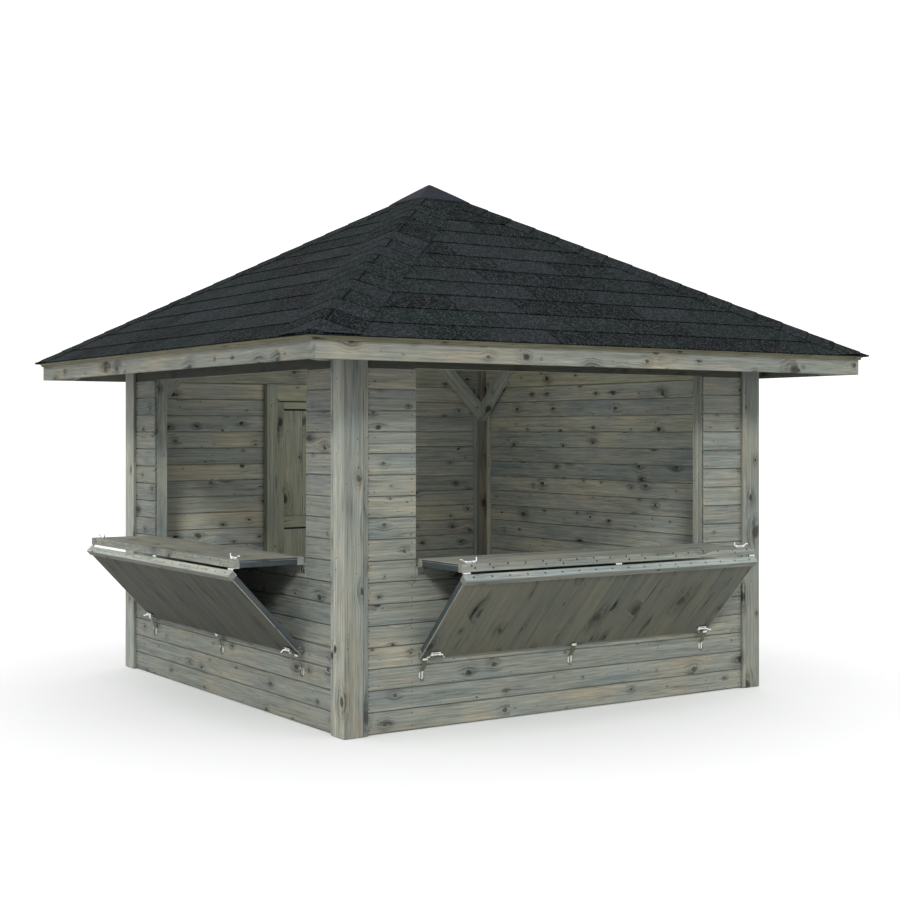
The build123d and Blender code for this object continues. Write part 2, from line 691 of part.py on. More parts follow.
def hasp_strap(side, run):
    """A hasp's tapered strap, which hangs from the leaf to a ring held on the wall's peg."""
    reach = HASP_KNUCKLE_RADIUS + HASP_PIVOT_GAP
    fall = (RING_LINE - HASP_TOP[0], RING_TOP - RING_WIRE / 2 - HASP_TOP[1])
    length = hypot(*fall)
    along = (fall[0] / length, fall[1] / length)
    base = level(side)
    down = base.y_dir * along[0] + Vector(0, 0, along[1])
    start = base.x_dir * run + base.y_dir * HASP_TOP[0] + Vector(0, 0, HASP_TOP[1])
    face = Plane(origin=start, x_dir=down, z_dir=base.x_dir.cross(down))
    ring_middle = RING_TOP - RING_LENGTH / 2
    ring_face = Plane(
        origin=base.x_dir * run + base.y_dir * RING_LINE + Vector(0, 0, ring_middle),
        x_dir=Vector(0, 0, 1),
        z_dir=base.y_dir,
    )
    with BuildPart() as strap:
        with BuildSketch(face.offset(-HASP_PLATE / 2)):
            Polygon(
                [
                    (reach, -HASP_WIDTH / 2),
                    (length, -HASP_TOE_WIDTH / 2),
                    (length, HASP_TOE_WIDTH / 2),
                    (reach, HASP_WIDTH / 2),
                ],
                align=None,
            )
        extrude(amount=HASP_PLATE)
        with BuildSketch(ring_face.offset(-RING_WIRE / 2)):
            SlotOverall(RING_LENGTH, RING_WIDTH)
            SlotOverall(RING_LENGTH - 2 * RING_WIRE, RING_WIDTH - 2 * RING_WIRE, mode=Mode.SUBTRACT)
        extrude(amount=RING_WIRE)
    return strap.part


def staple_peg(side, run):
    """The small wall plate and peg that a hasp's ring hangs on."""
    ring_middle = RING_TOP - RING_LENGTH / 2
    base = level(side)
    seat = Plane(
        origin=base.x_dir * run - base.y_dir * CLADDING_FACE + Vector(0, 0, ring_middle),
        x_dir=Vector(0, 0, 1),
        z_dir=base.y_dir * -1,
    )
    with BuildPart() as peg:
        with BuildSketch(seat):
            SlotOverall(STAPLE_PLATE_HEIGHT, STAPLE_PLATE_WIDTH)
        extrude(amount=HASP_PLATE)
        with BuildSketch(seat):
            with Locations((RING_LENGTH / 2 - RING_WIRE - PEG_RADIUS, 0)):
                Circle(PEG_RADIUS)
        extrude(amount=RING_STANDOFF + 2 * RING_WIRE)
    return peg.part


wall_hinge_plates = []
hasp_straps = []
hasp_pegs = []
for side in ("front", "left"):
    with BuildPart() as counter:
        add(framed_leaf(side, 0.0, 0.0, COUNTER_REACH - LEAF_END_GAP))
    save(counter.part, f"{side}_counter")
    with BuildPart() as prop:
        add(framed_leaf(side, COUNTER_REACH, PROP_FOLD, PROP_LENGTH))
    save(prop.part, f"{side}_prop_leaf")

    counter_fittings = []
    prop_fittings = []
    for run in HINGE_RUNS:
        wall_pin = leaf_plane(side, run, 0.0, 0.0)
        wall_hinge_plates.append(hinge_half(wall_pin, plate_outline(-90, -HINGE_RADIUS), False))
        counter_fittings.append(hinge_half(wall_pin, plate_outline(0, HINGE_RADIUS), True))
        prop_pin = leaf_plane(side, run, COUNTER_REACH, 0.0)
        counter_fittings.append(hinge_half(prop_pin, plate_outline(180, -HINGE_RADIUS), False))
        prop_fittings.append(
            hinge_half(leaf_plane(side, run, COUNTER_REACH, PROP_FOLD), plate_outline(0, HINGE_RADIUS), True)
        )
        prop_fittings.append(hasp_hinge(side, run))
        hasp_straps.append(hasp_strap(side, run))
        hasp_pegs.append(staple_peg(side, run))
    for hand in (-1, 1):
        counter_fittings.append(bolt(side, 0.0, 0.0, COUNTER_REACH - BOLT_EDGE_INSET, hand))
        prop_fittings.append(bolt(side, COUNTER_REACH, PROP_FOLD, PROP_LENGTH - BOLT_EDGE_INSET, hand))
    with BuildPart() as counter_fitting_set:
        add(counter_fittings)
    save(counter_fitting_set.part, f"{side}_counter_fittings")
    with BuildPart() as prop_fitting_set:
        add(prop_fittings)
    save(prop_fitting_set.part, f"{side}_prop_leaf_fittings")

with BuildPart() as wall_plates:
    add(wall_hinge_plates)
save(wall_plates.part, "wall_hinge_plates")
with BuildPart() as strap_set:
    add(hasp_straps)
save(strap_set.part, "hasp_straps")
with BuildPart() as peg_set:
    add(hasp_pegs)
save(peg_set.part, "hasp_pegs")

# Door hinges on the outside of the frame and the door, and a knob at the free side
door_pin_run = DOOR_LEAF_HALF + DOOR_GAP / 2
back = level("back")
frame_hinges = []
door_fittings = []
for height in (DOOR_HINGE_LOW, (DOOR_HINGE_LOW + DOOR_HINGE_HIGH) / 2, DOOR_HINGE_HIGH):
    pin = Plane(
        origin=back.x_dir * door_pin_run - back.y_dir * (DOOR_FACE + HINGE_RADIUS) + Vector(0, 0, height),
        x_dir=back.x_dir * -1,
        z_dir=Vector(0, 0, -1),
    )
    frame_hinges.append(hinge_half(pin, plate_outline(180, -HINGE_RADIUS), False))
    door_fittings.append(hinge_half(pin, plate_outline(0, HINGE_RADIUS), True))
knob_run = DOOR_STILE / 2 - DOOR_LEAF_HALF
knob_face = Plane(
    origin=back.x_dir * knob_run - back.y_dir * DOOR_FACE + Vector(0, 0, DOOR_KNOB_HEIGHT),
    x_dir=back.x_dir,
    z_dir=back.y_dir * -1,
)
with BuildPart() as knob:
    with BuildSketch(knob_face):
        Circle(KNOB_ROSE_RADIUS)
    extrude(amount=KNOB_ROSE_DEPTH)
    with BuildSketch(knob_face):
        Circle(KNOB_NECK_RADIUS)
    extrude(amount=KNOB_NECK_DEPTH)
    with BuildSketch(knob_face.offset(KNOB_NECK_DEPTH)):
        Circle(KNOB_RADIUS)
    extrude(amount=KNOB_DEPTH)
    rims = knob.edges().filter_by(GeomType.CIRCLE).filter_by(lambda rim: abs(rim.radius - KNOB_RADIUS) < 0.01)
    fillet(rims, KNOB_ROUNDING)
door_fittings.append(knob.part)
with BuildPart() as frame_hinge_set:
    add(frame_hinges)
save(frame_hinge_set.part, "door_frame_hinges")
with BuildPart() as door_fitting_set:
    add(door_fittings)
save(door_fitting_set.part, "door_fittings")
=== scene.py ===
"""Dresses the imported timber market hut: boarded walls, shingled hip roof, fold-out counters and a door.

Lengths are in metres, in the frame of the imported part: the origin is on the ground at the middle of the
square plan, +Z is up, the front wall faces -Y and the left wall faces -X.
"""

from __future__ import annotations

import json
import logging
import math
from dataclasses import dataclass
from enum import Enum

import bpy
import numpy as np
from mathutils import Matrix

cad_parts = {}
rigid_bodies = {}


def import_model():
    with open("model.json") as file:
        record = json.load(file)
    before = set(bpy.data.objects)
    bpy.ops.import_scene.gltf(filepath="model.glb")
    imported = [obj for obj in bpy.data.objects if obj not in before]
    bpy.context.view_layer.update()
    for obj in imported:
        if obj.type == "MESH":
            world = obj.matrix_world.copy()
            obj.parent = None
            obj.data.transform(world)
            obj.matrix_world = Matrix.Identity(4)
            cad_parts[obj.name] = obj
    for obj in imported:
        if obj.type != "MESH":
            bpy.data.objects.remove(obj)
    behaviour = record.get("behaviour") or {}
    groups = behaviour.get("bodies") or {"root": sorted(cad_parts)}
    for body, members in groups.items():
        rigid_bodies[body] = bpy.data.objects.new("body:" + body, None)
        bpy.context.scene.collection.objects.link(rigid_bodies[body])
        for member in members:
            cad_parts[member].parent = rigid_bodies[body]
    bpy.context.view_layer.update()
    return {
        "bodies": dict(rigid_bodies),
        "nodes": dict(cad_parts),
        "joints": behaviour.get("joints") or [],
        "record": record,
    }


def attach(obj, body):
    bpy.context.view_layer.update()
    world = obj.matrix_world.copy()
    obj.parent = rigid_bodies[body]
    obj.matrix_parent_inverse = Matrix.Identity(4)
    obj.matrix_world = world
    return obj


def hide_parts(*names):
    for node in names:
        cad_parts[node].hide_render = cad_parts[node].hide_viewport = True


LOG = logging.getLogger("market_hut")
UP = np.array([0.0, 0.0, 1.0])
HAIR = 0.0006  # a gap that keeps two faces from lying in one plane
Colour = tuple[float, float, float]
Span = tuple[float | np.ndarray, float | np.ndarray]


class Side(Enum):
    """The four walls, by how far each is turned about +Z from the front one, in degrees."""

    FRONT = 0
    RIGHT = 90
    BACK = 180
    LEFT = 270

    @property
    def label(self) -> str:
        """The wall's name as pieces carry it."""
        return self.name.lower()

    @property
    def run(self) -> np.ndarray:
        """Direction along the wall, to the right as seen from outside; exact for quarter turns."""
        quarter = self.value // 90
        return np.array([(1.0, 0.0, -1.0, 0.0)[quarter], (0.0, 1.0, 0.0, -1.0)[quarter], 0.0])

    @property
    def out(self) -> np.ndarray:
        """Direction outwards from the middle of the hut."""
        return np.cross(self.run, UP)

    def world(self, run: np.ndarray, out: np.ndarray, height: np.ndarray) -> np.ndarray:
        """Turns a wall's own coordinates into world points.

        Args:
            run: distance along the wall, to the right as seen from outside.
            out: distance outwards from the middle of the hut.
            height: height above the ground.

        Returns:
            Points, with x, y and z on a new last axis.
        """
        run, out, height = (part[..., None] for part in np.broadcast_arrays(run, out, height))
        return run * self.run + out * self.out + height * UP

    def upright(self) -> Axes:
        """Axes at the hut's origin for timbers of this wall that stand upright."""
        return Axes(np.zeros(3), UP, self.run, self.out)

    def level(self) -> Axes:
        """Axes at the hut's origin for timbers of this wall that lie level."""
        return Axes(np.zeros(3), self.run, UP, self.out)


@dataclass(frozen=True)
class Axes:
    """An origin and three unit directions to build timbers in."""

    origin: np.ndarray
    grain: np.ndarray
    across: np.ndarray
    depth: np.ndarray

    def points(self, local: np.ndarray) -> np.ndarray:
        """World points of local ones, whose last axis holds grain, across and depth distances."""
        return self.origin + local @ np.stack([self.grain, self.across, self.depth])

    def right_handed(self) -> bool:
        """Whether the three directions follow the right-hand rule."""
        return bool(np.dot(np.cross(self.grain, self.across), self.depth) > 0)


@dataclass(frozen=True)
class HutSizes:
    """Sizes that several sub-assemblies share, the same as in the solids."""

    half: float = 1.6
    post: float = 0.127
    face: float = 1.578
    board_depth: float = 0.022
    ground_gap: float = 0.005
    beam_low: float = 2.070
    beam_top: float = 2.320
    beam_depth: float = 0.060
    rows: int = 17
    opening_half: float = 1.113
    sill: float = 0.927
    door_frame_half: float = 0.500
    eave_half: float = 2.103
    eave_top: float = 2.2101
    pitch: float = math.radians(29.7)

    @property
    def post_inner(self) -> float:
        """Distance from the middle to the inner faces of the posts."""
        return self.half - self.post

    @property
    def back(self) -> float:
        """Distance from the middle to the inner faces of the wall boards."""
        return self.face - self.board_depth

    def row_lines(self) -> np.ndarray:
        """Low and high edge of each row of wall boards, one row a line."""
        edges = self.ground_gap + np.arange(self.rows + 1) * (self.beam_low - self.ground_gap) / self.rows
        return np.stack([edges[:-1], edges[1:]], axis=1)


HUT = HutSizes()


def add_object(name: str, data: bpy.types.ID) -> bpy.types.Object:
    """Makes an object of a mesh, light or camera and links it to the scene."""
    piece = bpy.data.objects.new(name, data)
    bpy.context.scene.collection.objects.link(piece)
    return piece


class MeshStack:
    """Gathers closed shapes as arrays and makes one object of them, with grain and seed attributes.

    A seed is any number that differs from timber to timber and so gives each its own pattern.
    """

    def __init__(self) -> None:
        """Starts with no shapes."""
        self.points: list[np.ndarray] = []
        self.faces: list[list[int]] = []
        self.grain: list[np.ndarray] = []
        self.seeds: list[np.ndarray] = []
        self.count = 0

    def add(self, points: np.ndarray, faces: list[np.ndarray], grain: np.ndarray, seeds: np.ndarray) -> None:
        """Adds shapes.

        Args:
            points: world points, one row each.
            faces: arrays of point numbers, one row a face, each array with its own number of corners.
            grain: for each point, its place along the grain, across it and through the depth.
            seeds: for each point, a number that is the same all over one timber.
        """
        self.points.append(points)
        for group in faces:
            self.faces.extend((group + self.count).tolist())
        self.grain.append(grain)
        self.seeds.append(seeds)
        self.count += len(points)

    def rings(
        self, points: np.ndarray, rings: int, grain: np.ndarray, seeds: np.ndarray, mirrored: bool
    ) -> None:
        """Adds closed shapes of eight-sided rings, joined by four-sided faces, with an octagon at both ends.

        Args:
            points: world points, ring after ring and shape after shape.
            rings: how many rings a shape has.
            grain: for each point, its place in the pattern.
            seeds: one number a shape.
            mirrored: whether the rings turn the other way, so that the faces have to be turned round.
        """
        ring = np.arange(8)
        after = (ring + 1) % 8
        starts = 8 * np.arange(rings - 1)[:, None]
        sides = np.stack([starts + ring, starts + after, starts + after + 8, starts + ring + 8], axis=-1)
        sides = sides.reshape(-1, 4)
        caps = np.stack([ring[::-1], ring + 8 * (rings - 1)])
        if mirrored:
            sides, caps = sides[:, ::-1], caps[:, ::-1]
        offset = 8 * rings * np.arange(len(seeds))[:, None, None]
        groups = [(offset + sides).reshape(-1, 4), (offset + caps).reshape(-1, 8)]
        self.add(points, groups, grain, np.repeat(seeds, 8 * rings))

    def planks(
        self,
        axes: Axes,
        along: Span,
        across: Span,
        depth: Span,
        seeds: float | np.ndarray,
        chamfer: float = 0.002,
        lean: tuple[float, float, float, float] = (0.0, 0.0, 0.0, 0.0),
    ) -> None:
        """Adds straight timbers with chamfered edges.

        An octagon, which is the timber's section with its corners cut, is carried along the grain through
        four rings. The end rings are drawn in by most of the chamfer. Where an end leans, each point's place
        along the grain is the end's place plus one slope times its place across plus another times its depth.

        Args:
            axes: the directions that the spans are given in.
            along: low and high end along the grain, each a number or one number a timber.
            across: the same across the grain.
            depth: the same through the depth.
            seeds: one number a timber.
            chamfer: width and depth of the cut corners.
            lean: slopes across and in depth at the low end, then at the high end.
        """
        spans = [np.atleast_1d(np.asarray(value, float)) for value in (*along, *across, *depth)]
        low_s, high_s, low_t, high_t, low_w, high_w = np.stack(np.broadcast_arrays(*spans))[:, :, None]
        drawn = chamfer * np.array([0.8, 0.0, 0.0, 0.8])
        t0, t1, w0, w1 = low_t + drawn, high_t - drawn, low_w + drawn, high_w - drawn
        t = np.stack([t0 + chamfer, t1 - chamfer, t1, t1, t1 - chamfer, t0 + chamfer, t0, t0], axis=2)
        w = np.stack([w0, w0, w0 + chamfer, w1 - chamfer, w1, w1, w1 - chamfer, w0 + chamfer], axis=2)
        s = np.stack([low_s, low_s + chamfer, high_s - chamfer, high_s], axis=1)
        slopes = np.array([lean[:2], lean[:2], lean[2:], lean[2:]])[:, :, None]
        s = s + slopes[:, 0] * t + slopes[:, 1] * w
        local = np.stack([s, t, w], axis=-1).reshape(-1, 3)
        seeds = np.broadcast_to(np.asarray(seeds, float), len(low_s))
        self.rings(axes.points(local), 4, local, seeds, not axes.right_handed())

    def pair(
        self, axes: Axes, along: Span, across: Span, depth: Span, seeds: tuple[float, float], chamfer: float
    ) -> None:
        """Adds a timber and its mirror image beyond the middle.

        Args:
            axes: the directions that the spans are given in.
            along: low and high end along the grain.
            across: the same across the grain, on the positive side.
            depth: the same through the depth.
            seeds: the middle of the two timbers' seeds, and how far each is from it.
            chamfer: width and depth of the cut corners.
        """
        near, far = across
        both = (np.array([-far, near]), np.array([-near, far]))
        self.planks(axes, along, both, depth, seeds[0] + seeds[1] * np.array([-1.0, 1.0]), chamfer)

    def sheets(self, top: np.ndarray, under: np.ndarray, grain: np.ndarray, seeds: np.ndarray) -> None:
        """Adds closed sheets from pairs of grids, the top one and the one under it.

        The faces between neighbouring grid points close each surface, and strips round the rim join the two.

        Args:
            top: points, indexed by sheet, row, column and coordinate; rows by columns turn outwards.
            under: the same for the lower surface.
            grain: grain coordinates of the top points; the lower ones take the same.
            seeds: one number a sheet.
        """
        count, rows, columns = top.shape[:3]
        size = rows * columns
        index = np.arange(size).reshape(rows, columns)
        quads = np.stack([index[:-1, :-1], index[:-1, 1:], index[1:, 1:], index[1:, :-1]], axis=-1)
        quads = quads.reshape(-1, 4)
        rim = np.concatenate([index[0, :-1], index[:-1, -1], index[-1, :0:-1], index[:0:-1, 0]])
        following = np.roll(rim, -1)
        walls = np.stack([rim, rim + size, following + size, following], axis=-1)
        faces = np.concatenate([quads, quads[:, ::-1] + size, walls])
        both = np.concatenate([top.reshape(count, size, 3), under.reshape(count, size, 3)], axis=1)
        pattern = np.concatenate([grain.reshape(count, size, 3)] * 2, axis=1)
        offset = 2 * size * np.arange(count)[:, None, None]
        everywhere = np.repeat(np.asarray(seeds, float), 2 * size)
        self.add(both.reshape(-1, 3), [(offset + faces).reshape(-1, 4)], pattern.reshape(-1, 3), everywhere)

    def studs(self, centres: np.ndarray, normal: np.ndarray, radius: float, height: float) -> None:
        """Adds nail heads: low domes of rings of eight points with a flat top, on a surface.

        Args:
            centres: world points on the surface.
            normal: the surface's outward direction, of length 1.
            radius: radius of the head.
            height: how far the head stands proud.
        """
        first = np.cross(normal, UP if abs(normal[2]) < 0.9 else np.array([1.0, 0.0, 0.0]))
        first /= np.linalg.norm(first)
        second = np.cross(normal, first)
        turn = np.arange(8) * math.pi / 4
        circle = radius * (np.cos(turn)[:, None] * first + np.sin(turn)[:, None] * second)
        local = np.concatenate([circle - normal * height, circle, circle * 0.6 + normal * height])
        points = (centres[:, None, :] + local).reshape(-1, 3)
        self.rings(points, 3, points, np.arange(len(centres)) * 0.37, False)

    def build(
        self,
        name: str,
        material: bpy.types.Material,
        slot: str,
        replaced: tuple[str, ...] = (),
        body: str = "hut",
    ) -> None:
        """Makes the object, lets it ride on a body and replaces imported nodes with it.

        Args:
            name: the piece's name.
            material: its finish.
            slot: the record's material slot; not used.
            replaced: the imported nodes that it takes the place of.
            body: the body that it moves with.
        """
        mesh = bpy.data.meshes.new(name)
        mesh.from_pydata(np.concatenate(self.points).tolist(), [], self.faces)
        grain = mesh.attributes.new("grain", "FLOAT_VECTOR", "POINT")
        grain.data.foreach_set("vector", np.concatenate(self.grain).astype(np.float32).ravel())
        seed = mesh.attributes.new("seed", "FLOAT", "POINT")
        seed.data.foreach_set("value", np.concatenate(self.seeds).astype(np.float32))
        mesh.materials.append(material)
        mesh.update()
        piece = add_object(name, mesh)
        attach(piece, body)
        if replaced:
            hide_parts(*replaced)
        LOG.info("%s: %d faces on %s", name, len(self.faces), body)


class Value:
    """A number, vector or colour that a material's nodes work out; signs between numbers add Math nodes."""

    def __init__(self, sheet: Sheet, socket: bpy.types.NodeSocket) -> None:
        """Keeps the sheet and the socket where the value comes out."""
        self.sheet = sheet
        self.socket = socket

    def __add__(self, other: Input) -> Value:
        """This value plus another."""
        return self.sheet.math("ADD", self, other)

    def __sub__(self, other: Input) -> Value:
        """This value less another."""
        return self.sheet.math("SUBTRACT", self, other)

    def __rsub__(self, other: float) -> Value:
        """A plain number less this value."""
        return self.sheet.math("SUBTRACT", other, self)

    def __mul__(self, other: Input) -> Value:
        """This value times another."""
        return self.sheet.math("MULTIPLY", self, other)

    def __truediv__(self, other: Input) -> Value:
        """This value over another."""
        return self.sheet.math("DIVIDE", self, other)

    def __pow__(self, power: float) -> Value:
        """This value raised to a power."""
        return self.sheet.math("POWER", self, power)

    def parts(self) -> tuple[Value, ...]:
        """The three numbers of a vector or colour."""
        return self.sheet.add("SeparateXYZ", {0: self}, (0, 1, 2))


Input = Value | float | Colour


class Sheet:
    """A material's node tree, filled by short calls that each add one node and return its result."""

    def __init__(self, name: str) -> None:
        """Makes an empty material with a principled shader and its output."""
        self.material = bpy.data.materials.new(name)
        self.material.use_nodes = True
        self.tree = self.material.node_tree
        self.tree.nodes.clear()
        self.shader = self.tree.nodes.new("ShaderNodeBsdfPrincipled")
        output = self.tree.nodes.new("ShaderNodeOutputMaterial")
        self.tree.links.new(self.shader.outputs[0], output.inputs[0])

    def feed(self, value: Input, socket: bpy.types.NodeSocket) -> None:
        """Links a value to an input socket, or sets a plain number, vector or colour on it.

        Args:
            value: the value, or what to set.
            socket: the input socket.
        """
        if isinstance(value, Value):
            self.tree.links.new(value.socket, socket)
        elif socket.type == "RGBA":
            socket.default_value = (*value, 1.0)
        else:
            socket.default_value = value

    def add(
        self,
        kind: str,
        inputs: dict[str | int, Input],
        outputs: tuple[str | int, ...] = (0,),
        **settings: object,
    ) -> tuple[Value, ...]:
        """Adds one node.

        Args:
            kind: the node's type, without the word ShaderNode.
            inputs: for sockets by name or number, a value to link or a plain one to set.
            outputs: the sockets whose results are wanted.
            settings: the node's own settings.

        Returns:
            The results, one for each output.
        """
        node = self.tree.nodes.new(f"ShaderNode{kind}")
        for name, setting in settings.items():
            setattr(node, name, setting)
        for key, value in inputs.items():
            self.feed(value, node.inputs[key])
        return tuple(Value(self, node.outputs[key]) for key in outputs)

    def attribute(self, name: str, output: str) -> Value:
        """Reads one of the mesh's attributes."""
        return self.add("Attribute", {}, (output,), attribute_name=name)[0]

    def place(self) -> Value:
        """The object's own coordinates."""
        return self.add("TexCoord", {}, ("Object",))[0]

    def math(self, operation: str, first: Input, second: Input = 0.0) -> Value:
        """One step of arithmetic on numbers."""
        return self.add("Math", {0: first, 1: second}, operation=operation)[0]

    def moved(self, place: Value, by: Colour) -> Value:
        """A place moved by fixed distances."""
        return self.add("VectorMath", {0: place, 1: by}, operation="ADD")[0]

    def join(self, x: Input, y: Input, z: Input) -> Value:
        """A vector of three numbers."""
        return self.add("CombineXYZ", {0: x, 1: y, 2: z})[0]

    def noise(self, place: Value, scale: float, detail: float = 2.0, roughness: float = 0.5) -> Value:
        """Smooth noise from 0 to 1."""
        inputs = {"Vector": place, "Scale": scale, "Detail": detail, "Roughness": roughness}
        return self.add("TexNoise", inputs, ("Fac",))[0]

    def cells(self, place: Value, scale: float, dimensions: str = "2D") -> tuple[Value, ...]:
        """Distance to the nearest of scattered points, its random colour and its place."""
        inputs, outputs = {"Vector": place, "Scale": scale}, ("Distance", "Color", "Position")
        return self.add("TexVoronoi", inputs, outputs, voronoi_dimensions=dimensions)

    def chance(self, value: Value) -> Value:
        """A random number from 0 to 1 for each different value."""
        return self.add("TexWhiteNoise", {"W": value}, ("Value",), noise_dimensions="1D")[0]

    def rise(self, value: Value, low: Input, high: Input) -> Value:
        """A smooth step from 0 at low to 1 at high."""
        inputs = {"Value": value, "From Min": low, "From Max": high}
        return self.add("MapRange", inputs, ("Result",), interpolation_type="SMOOTHSTEP")[0]

    def blend(self, share: Input, first: Input, second: Input, kind: str = "MIX") -> Value:
        """A share of the second colour laid over the first."""
        return self.add("Mix", {0: share, 6: first, 7: second}, (2,), data_type="RGBA", blend_type=kind)[0]

    def relief(self, height: Value, distance: float, strength: float) -> None:
        """Gives the surface a fine relief."""
        inputs = {"Strength": strength, "Distance": distance, "Height": height}
        self.feed(self.add("Bump", inputs)[0], self.shader.inputs["Normal"])

    def finish(
        self, colour: Value, roughness: Input, metal: float = 0.0, gloss: float = 0.5
    ) -> bpy.types.Material:
        """Sets the shader.

        Args:
            colour: its base colour.
            roughness: its roughness.
            metal: its metalness.
            gloss: its specular level.

        Returns:
            The finished material.
        """
        self.feed(colour, self.shader.inputs["Base Color"])
        self.feed(roughness, self.shader.inputs["Roughness"])
        self.shader.inputs["Metallic"].default_value = metal
        self.shader.inputs["Specular IOR Level"].default_value = gloss
        return self.material


@dataclass(frozen=True)
class Knots:
    """What knots do to a timber: dark hearts, the shade and rings round them, and pushed streaks."""

    heart: Value
    shade: Value
    ring: Value
    pushed: Value
    darkness: Value


@dataclass(frozen=True)
class WeatheredTimber:
    """Stained softwood gone grey: streaks, patches of warm and cool stain, knots and small dark specks.

    The scales are counts of waves a metre, along the grain and across it. The weights say how much each
    noise, whose middle is 0.5, adds to the tone, which multiplies the colour.
    """

    name: str
    warm: Colour = (0.204, 0.186, 0.138)
    grey: Colour = (0.150, 0.159, 0.137)
    cool: Colour = (0.114, 0.130, 0.126)
    rose: Colour = (0.215, 0.176, 0.137)
    dark: Colour = (0.020, 0.018, 0.014)
    warmth: float = 0.0
    light: float = 1.0
    # painted light: how much lighter faces inside the wall boards' backs are made, for the inside of the hut
    inner_light: float = 1.0
    # painted light: share by which faces that point to -X are made lighter, standing in for the sun on them
    bleach: float = 0.0
    stain: float = 0.28
    contrast: float = 1.0
    knot_spread: float = 6.5
    knot_size: float = 0.16
    knot_share: float = 0.64
    smallest_knot: float = 0.020
    wander_reach: float = 0.026
    streak_scales: tuple[float, float] = (1.5, 75.0)
    band_scales: tuple[float, float] = (0.9, 17.0)
    fibre_scales: tuple[float, float] = (6.0, 185.0)
    patch_scales: tuple[float, float] = (1.6, 4.2)
    blush_scales: tuple[float, float] = (2.6, 7.0)
    stain_scales: tuple[float, float] = (2.4, 15.0)
    streak_weight: float = 1.25
    band_weight: float = 0.50
    fibre_weight: float = 1.45
    own_weight: float = 0.14
    mean_tone: float = 1.03
    carried: bool = False

    def pattern_space(self, sheet: Sheet) -> tuple[Value, Value, Value, Input]:
        """Finds where the pattern is read.

        Args:
            sheet: the material's nodes.

        Returns:
            The place along the grain, across it and in depth, and the timber's own seed.
        """
        if self.carried:
            x, y, z = sheet.place().parts()
            return y, x, z, 0.5
        along, across, depth = sheet.attribute("grain", "Vector").parts()
        return along, across, depth, sheet.attribute("seed", "Fac")

    def drawn_noise(
        self, place: tuple[Value, Value, Input], scales: tuple[float, float], detail: float
    ) -> Value:
        """Noise drawn out along the grain, at a place along it, across it and in the timber's own layer."""
        sheet = place[0].sheet
        return sheet.noise(sheet.join(place[0] * scales[0], place[1] * scales[1], place[2]), 1.0, detail, 0.6)

    def knots(self, along: Value, side: Value, layer: Input) -> Knots:
        """Scatters the knots, drawn out along the grain.

        How near a point is to a knot is its distance from the heart over the knot's size, with a little
        noise. The heart ends at 1, the shade at 3.6, and the rings are a sine of it. Inside the shade the
        place across the grain is drawn towards the heart, so that the streaks flow round it.

        Args:
            along: place along the grain.
            side: place across it.
            layer: the timber's own layer of the noise.

        Returns:
            What the knots do.
        """
        sheet = side.sheet
        wander = self.drawn_noise((along, side, layer), (14.0, 30.0), 3.0) - 0.5
        knot_along = along * 0.68 + wander * self.wander_reach
        knot_across = side + wander * self.wander_reach
        distance, lot, centre = sheet.cells(sheet.join(knot_along, knot_across, 0.0), self.knot_spread)
        lot_size, lot_there, lot_shade = lot.parts()
        there = sheet.math("GREATER_THAN", lot_there, 1.0 - self.knot_share)
        near = distance / (lot_size**1.9 * self.knot_size + self.smallest_knot) + wander * 0.9
        heart = (1.0 - sheet.rise(near, 0.30, 1.0)) * there
        shade = (1.0 - sheet.rise(near, 0.6, 3.6)) * there
        ring = sheet.math("SINE", near * 8.0) * shade
        pushed = side - (knot_across - centre.parts()[1]) * (shade * 0.75)
        return Knots(heart, shade, ring, pushed, lot_shade * 0.28 + 0.70)

    def material(self) -> bpy.types.Material:
        """Builds the finish.

        Streaks, bands and fibres are noise drawn out along the grain, at three widths. Wide patches and a
        chance of each timber's own choose between warm, grey and cool stain. Where the fields say so, light
        is
        painted on: faces that point to -X are made lighter as painted sunlight, and those inside the wall
        boards' backs are lifted as painted light for the inside of the hut.

        Returns:
            The material.
        """
        sheet = Sheet(self.name)
        along, across, depth, seed = self.pattern_space(sheet)
        layer = seed * 17.31
        along, side = along + layer, across + depth
        knots = self.knots(along, side, layer)
        place, pushed = (along, side, layer), (along, knots.pushed, layer)
        streaks = self.drawn_noise(pushed, self.streak_scales, 5.0)
        bands = self.drawn_noise(pushed, self.band_scales, 3.0)
        fibres = self.drawn_noise(pushed, self.fibre_scales, 3.0)
        patches = self.drawn_noise(place, self.patch_scales, 4.0)
        blush = self.drawn_noise((along, side, layer + 5.0), self.blush_scales, 2.0)
        stain = self.drawn_noise((along, knots.pushed, layer + 9.0), self.stain_scales, 4.0)
        own = 0.5 if self.carried else sheet.chance(seed)

        mood = patches + (own - 0.5) * 0.21 + (bands - 0.5) * 0.16 + self.warmth
        colour = sheet.blend(sheet.rise(mood, 0.50, 0.80), self.grey, self.warm)
        colour = sheet.blend(sheet.rise(mood, 0.52, 0.26), colour, self.cool)
        colour = sheet.blend(sheet.rise(blush, 0.55, 0.78) * 0.45, colour, self.rose)

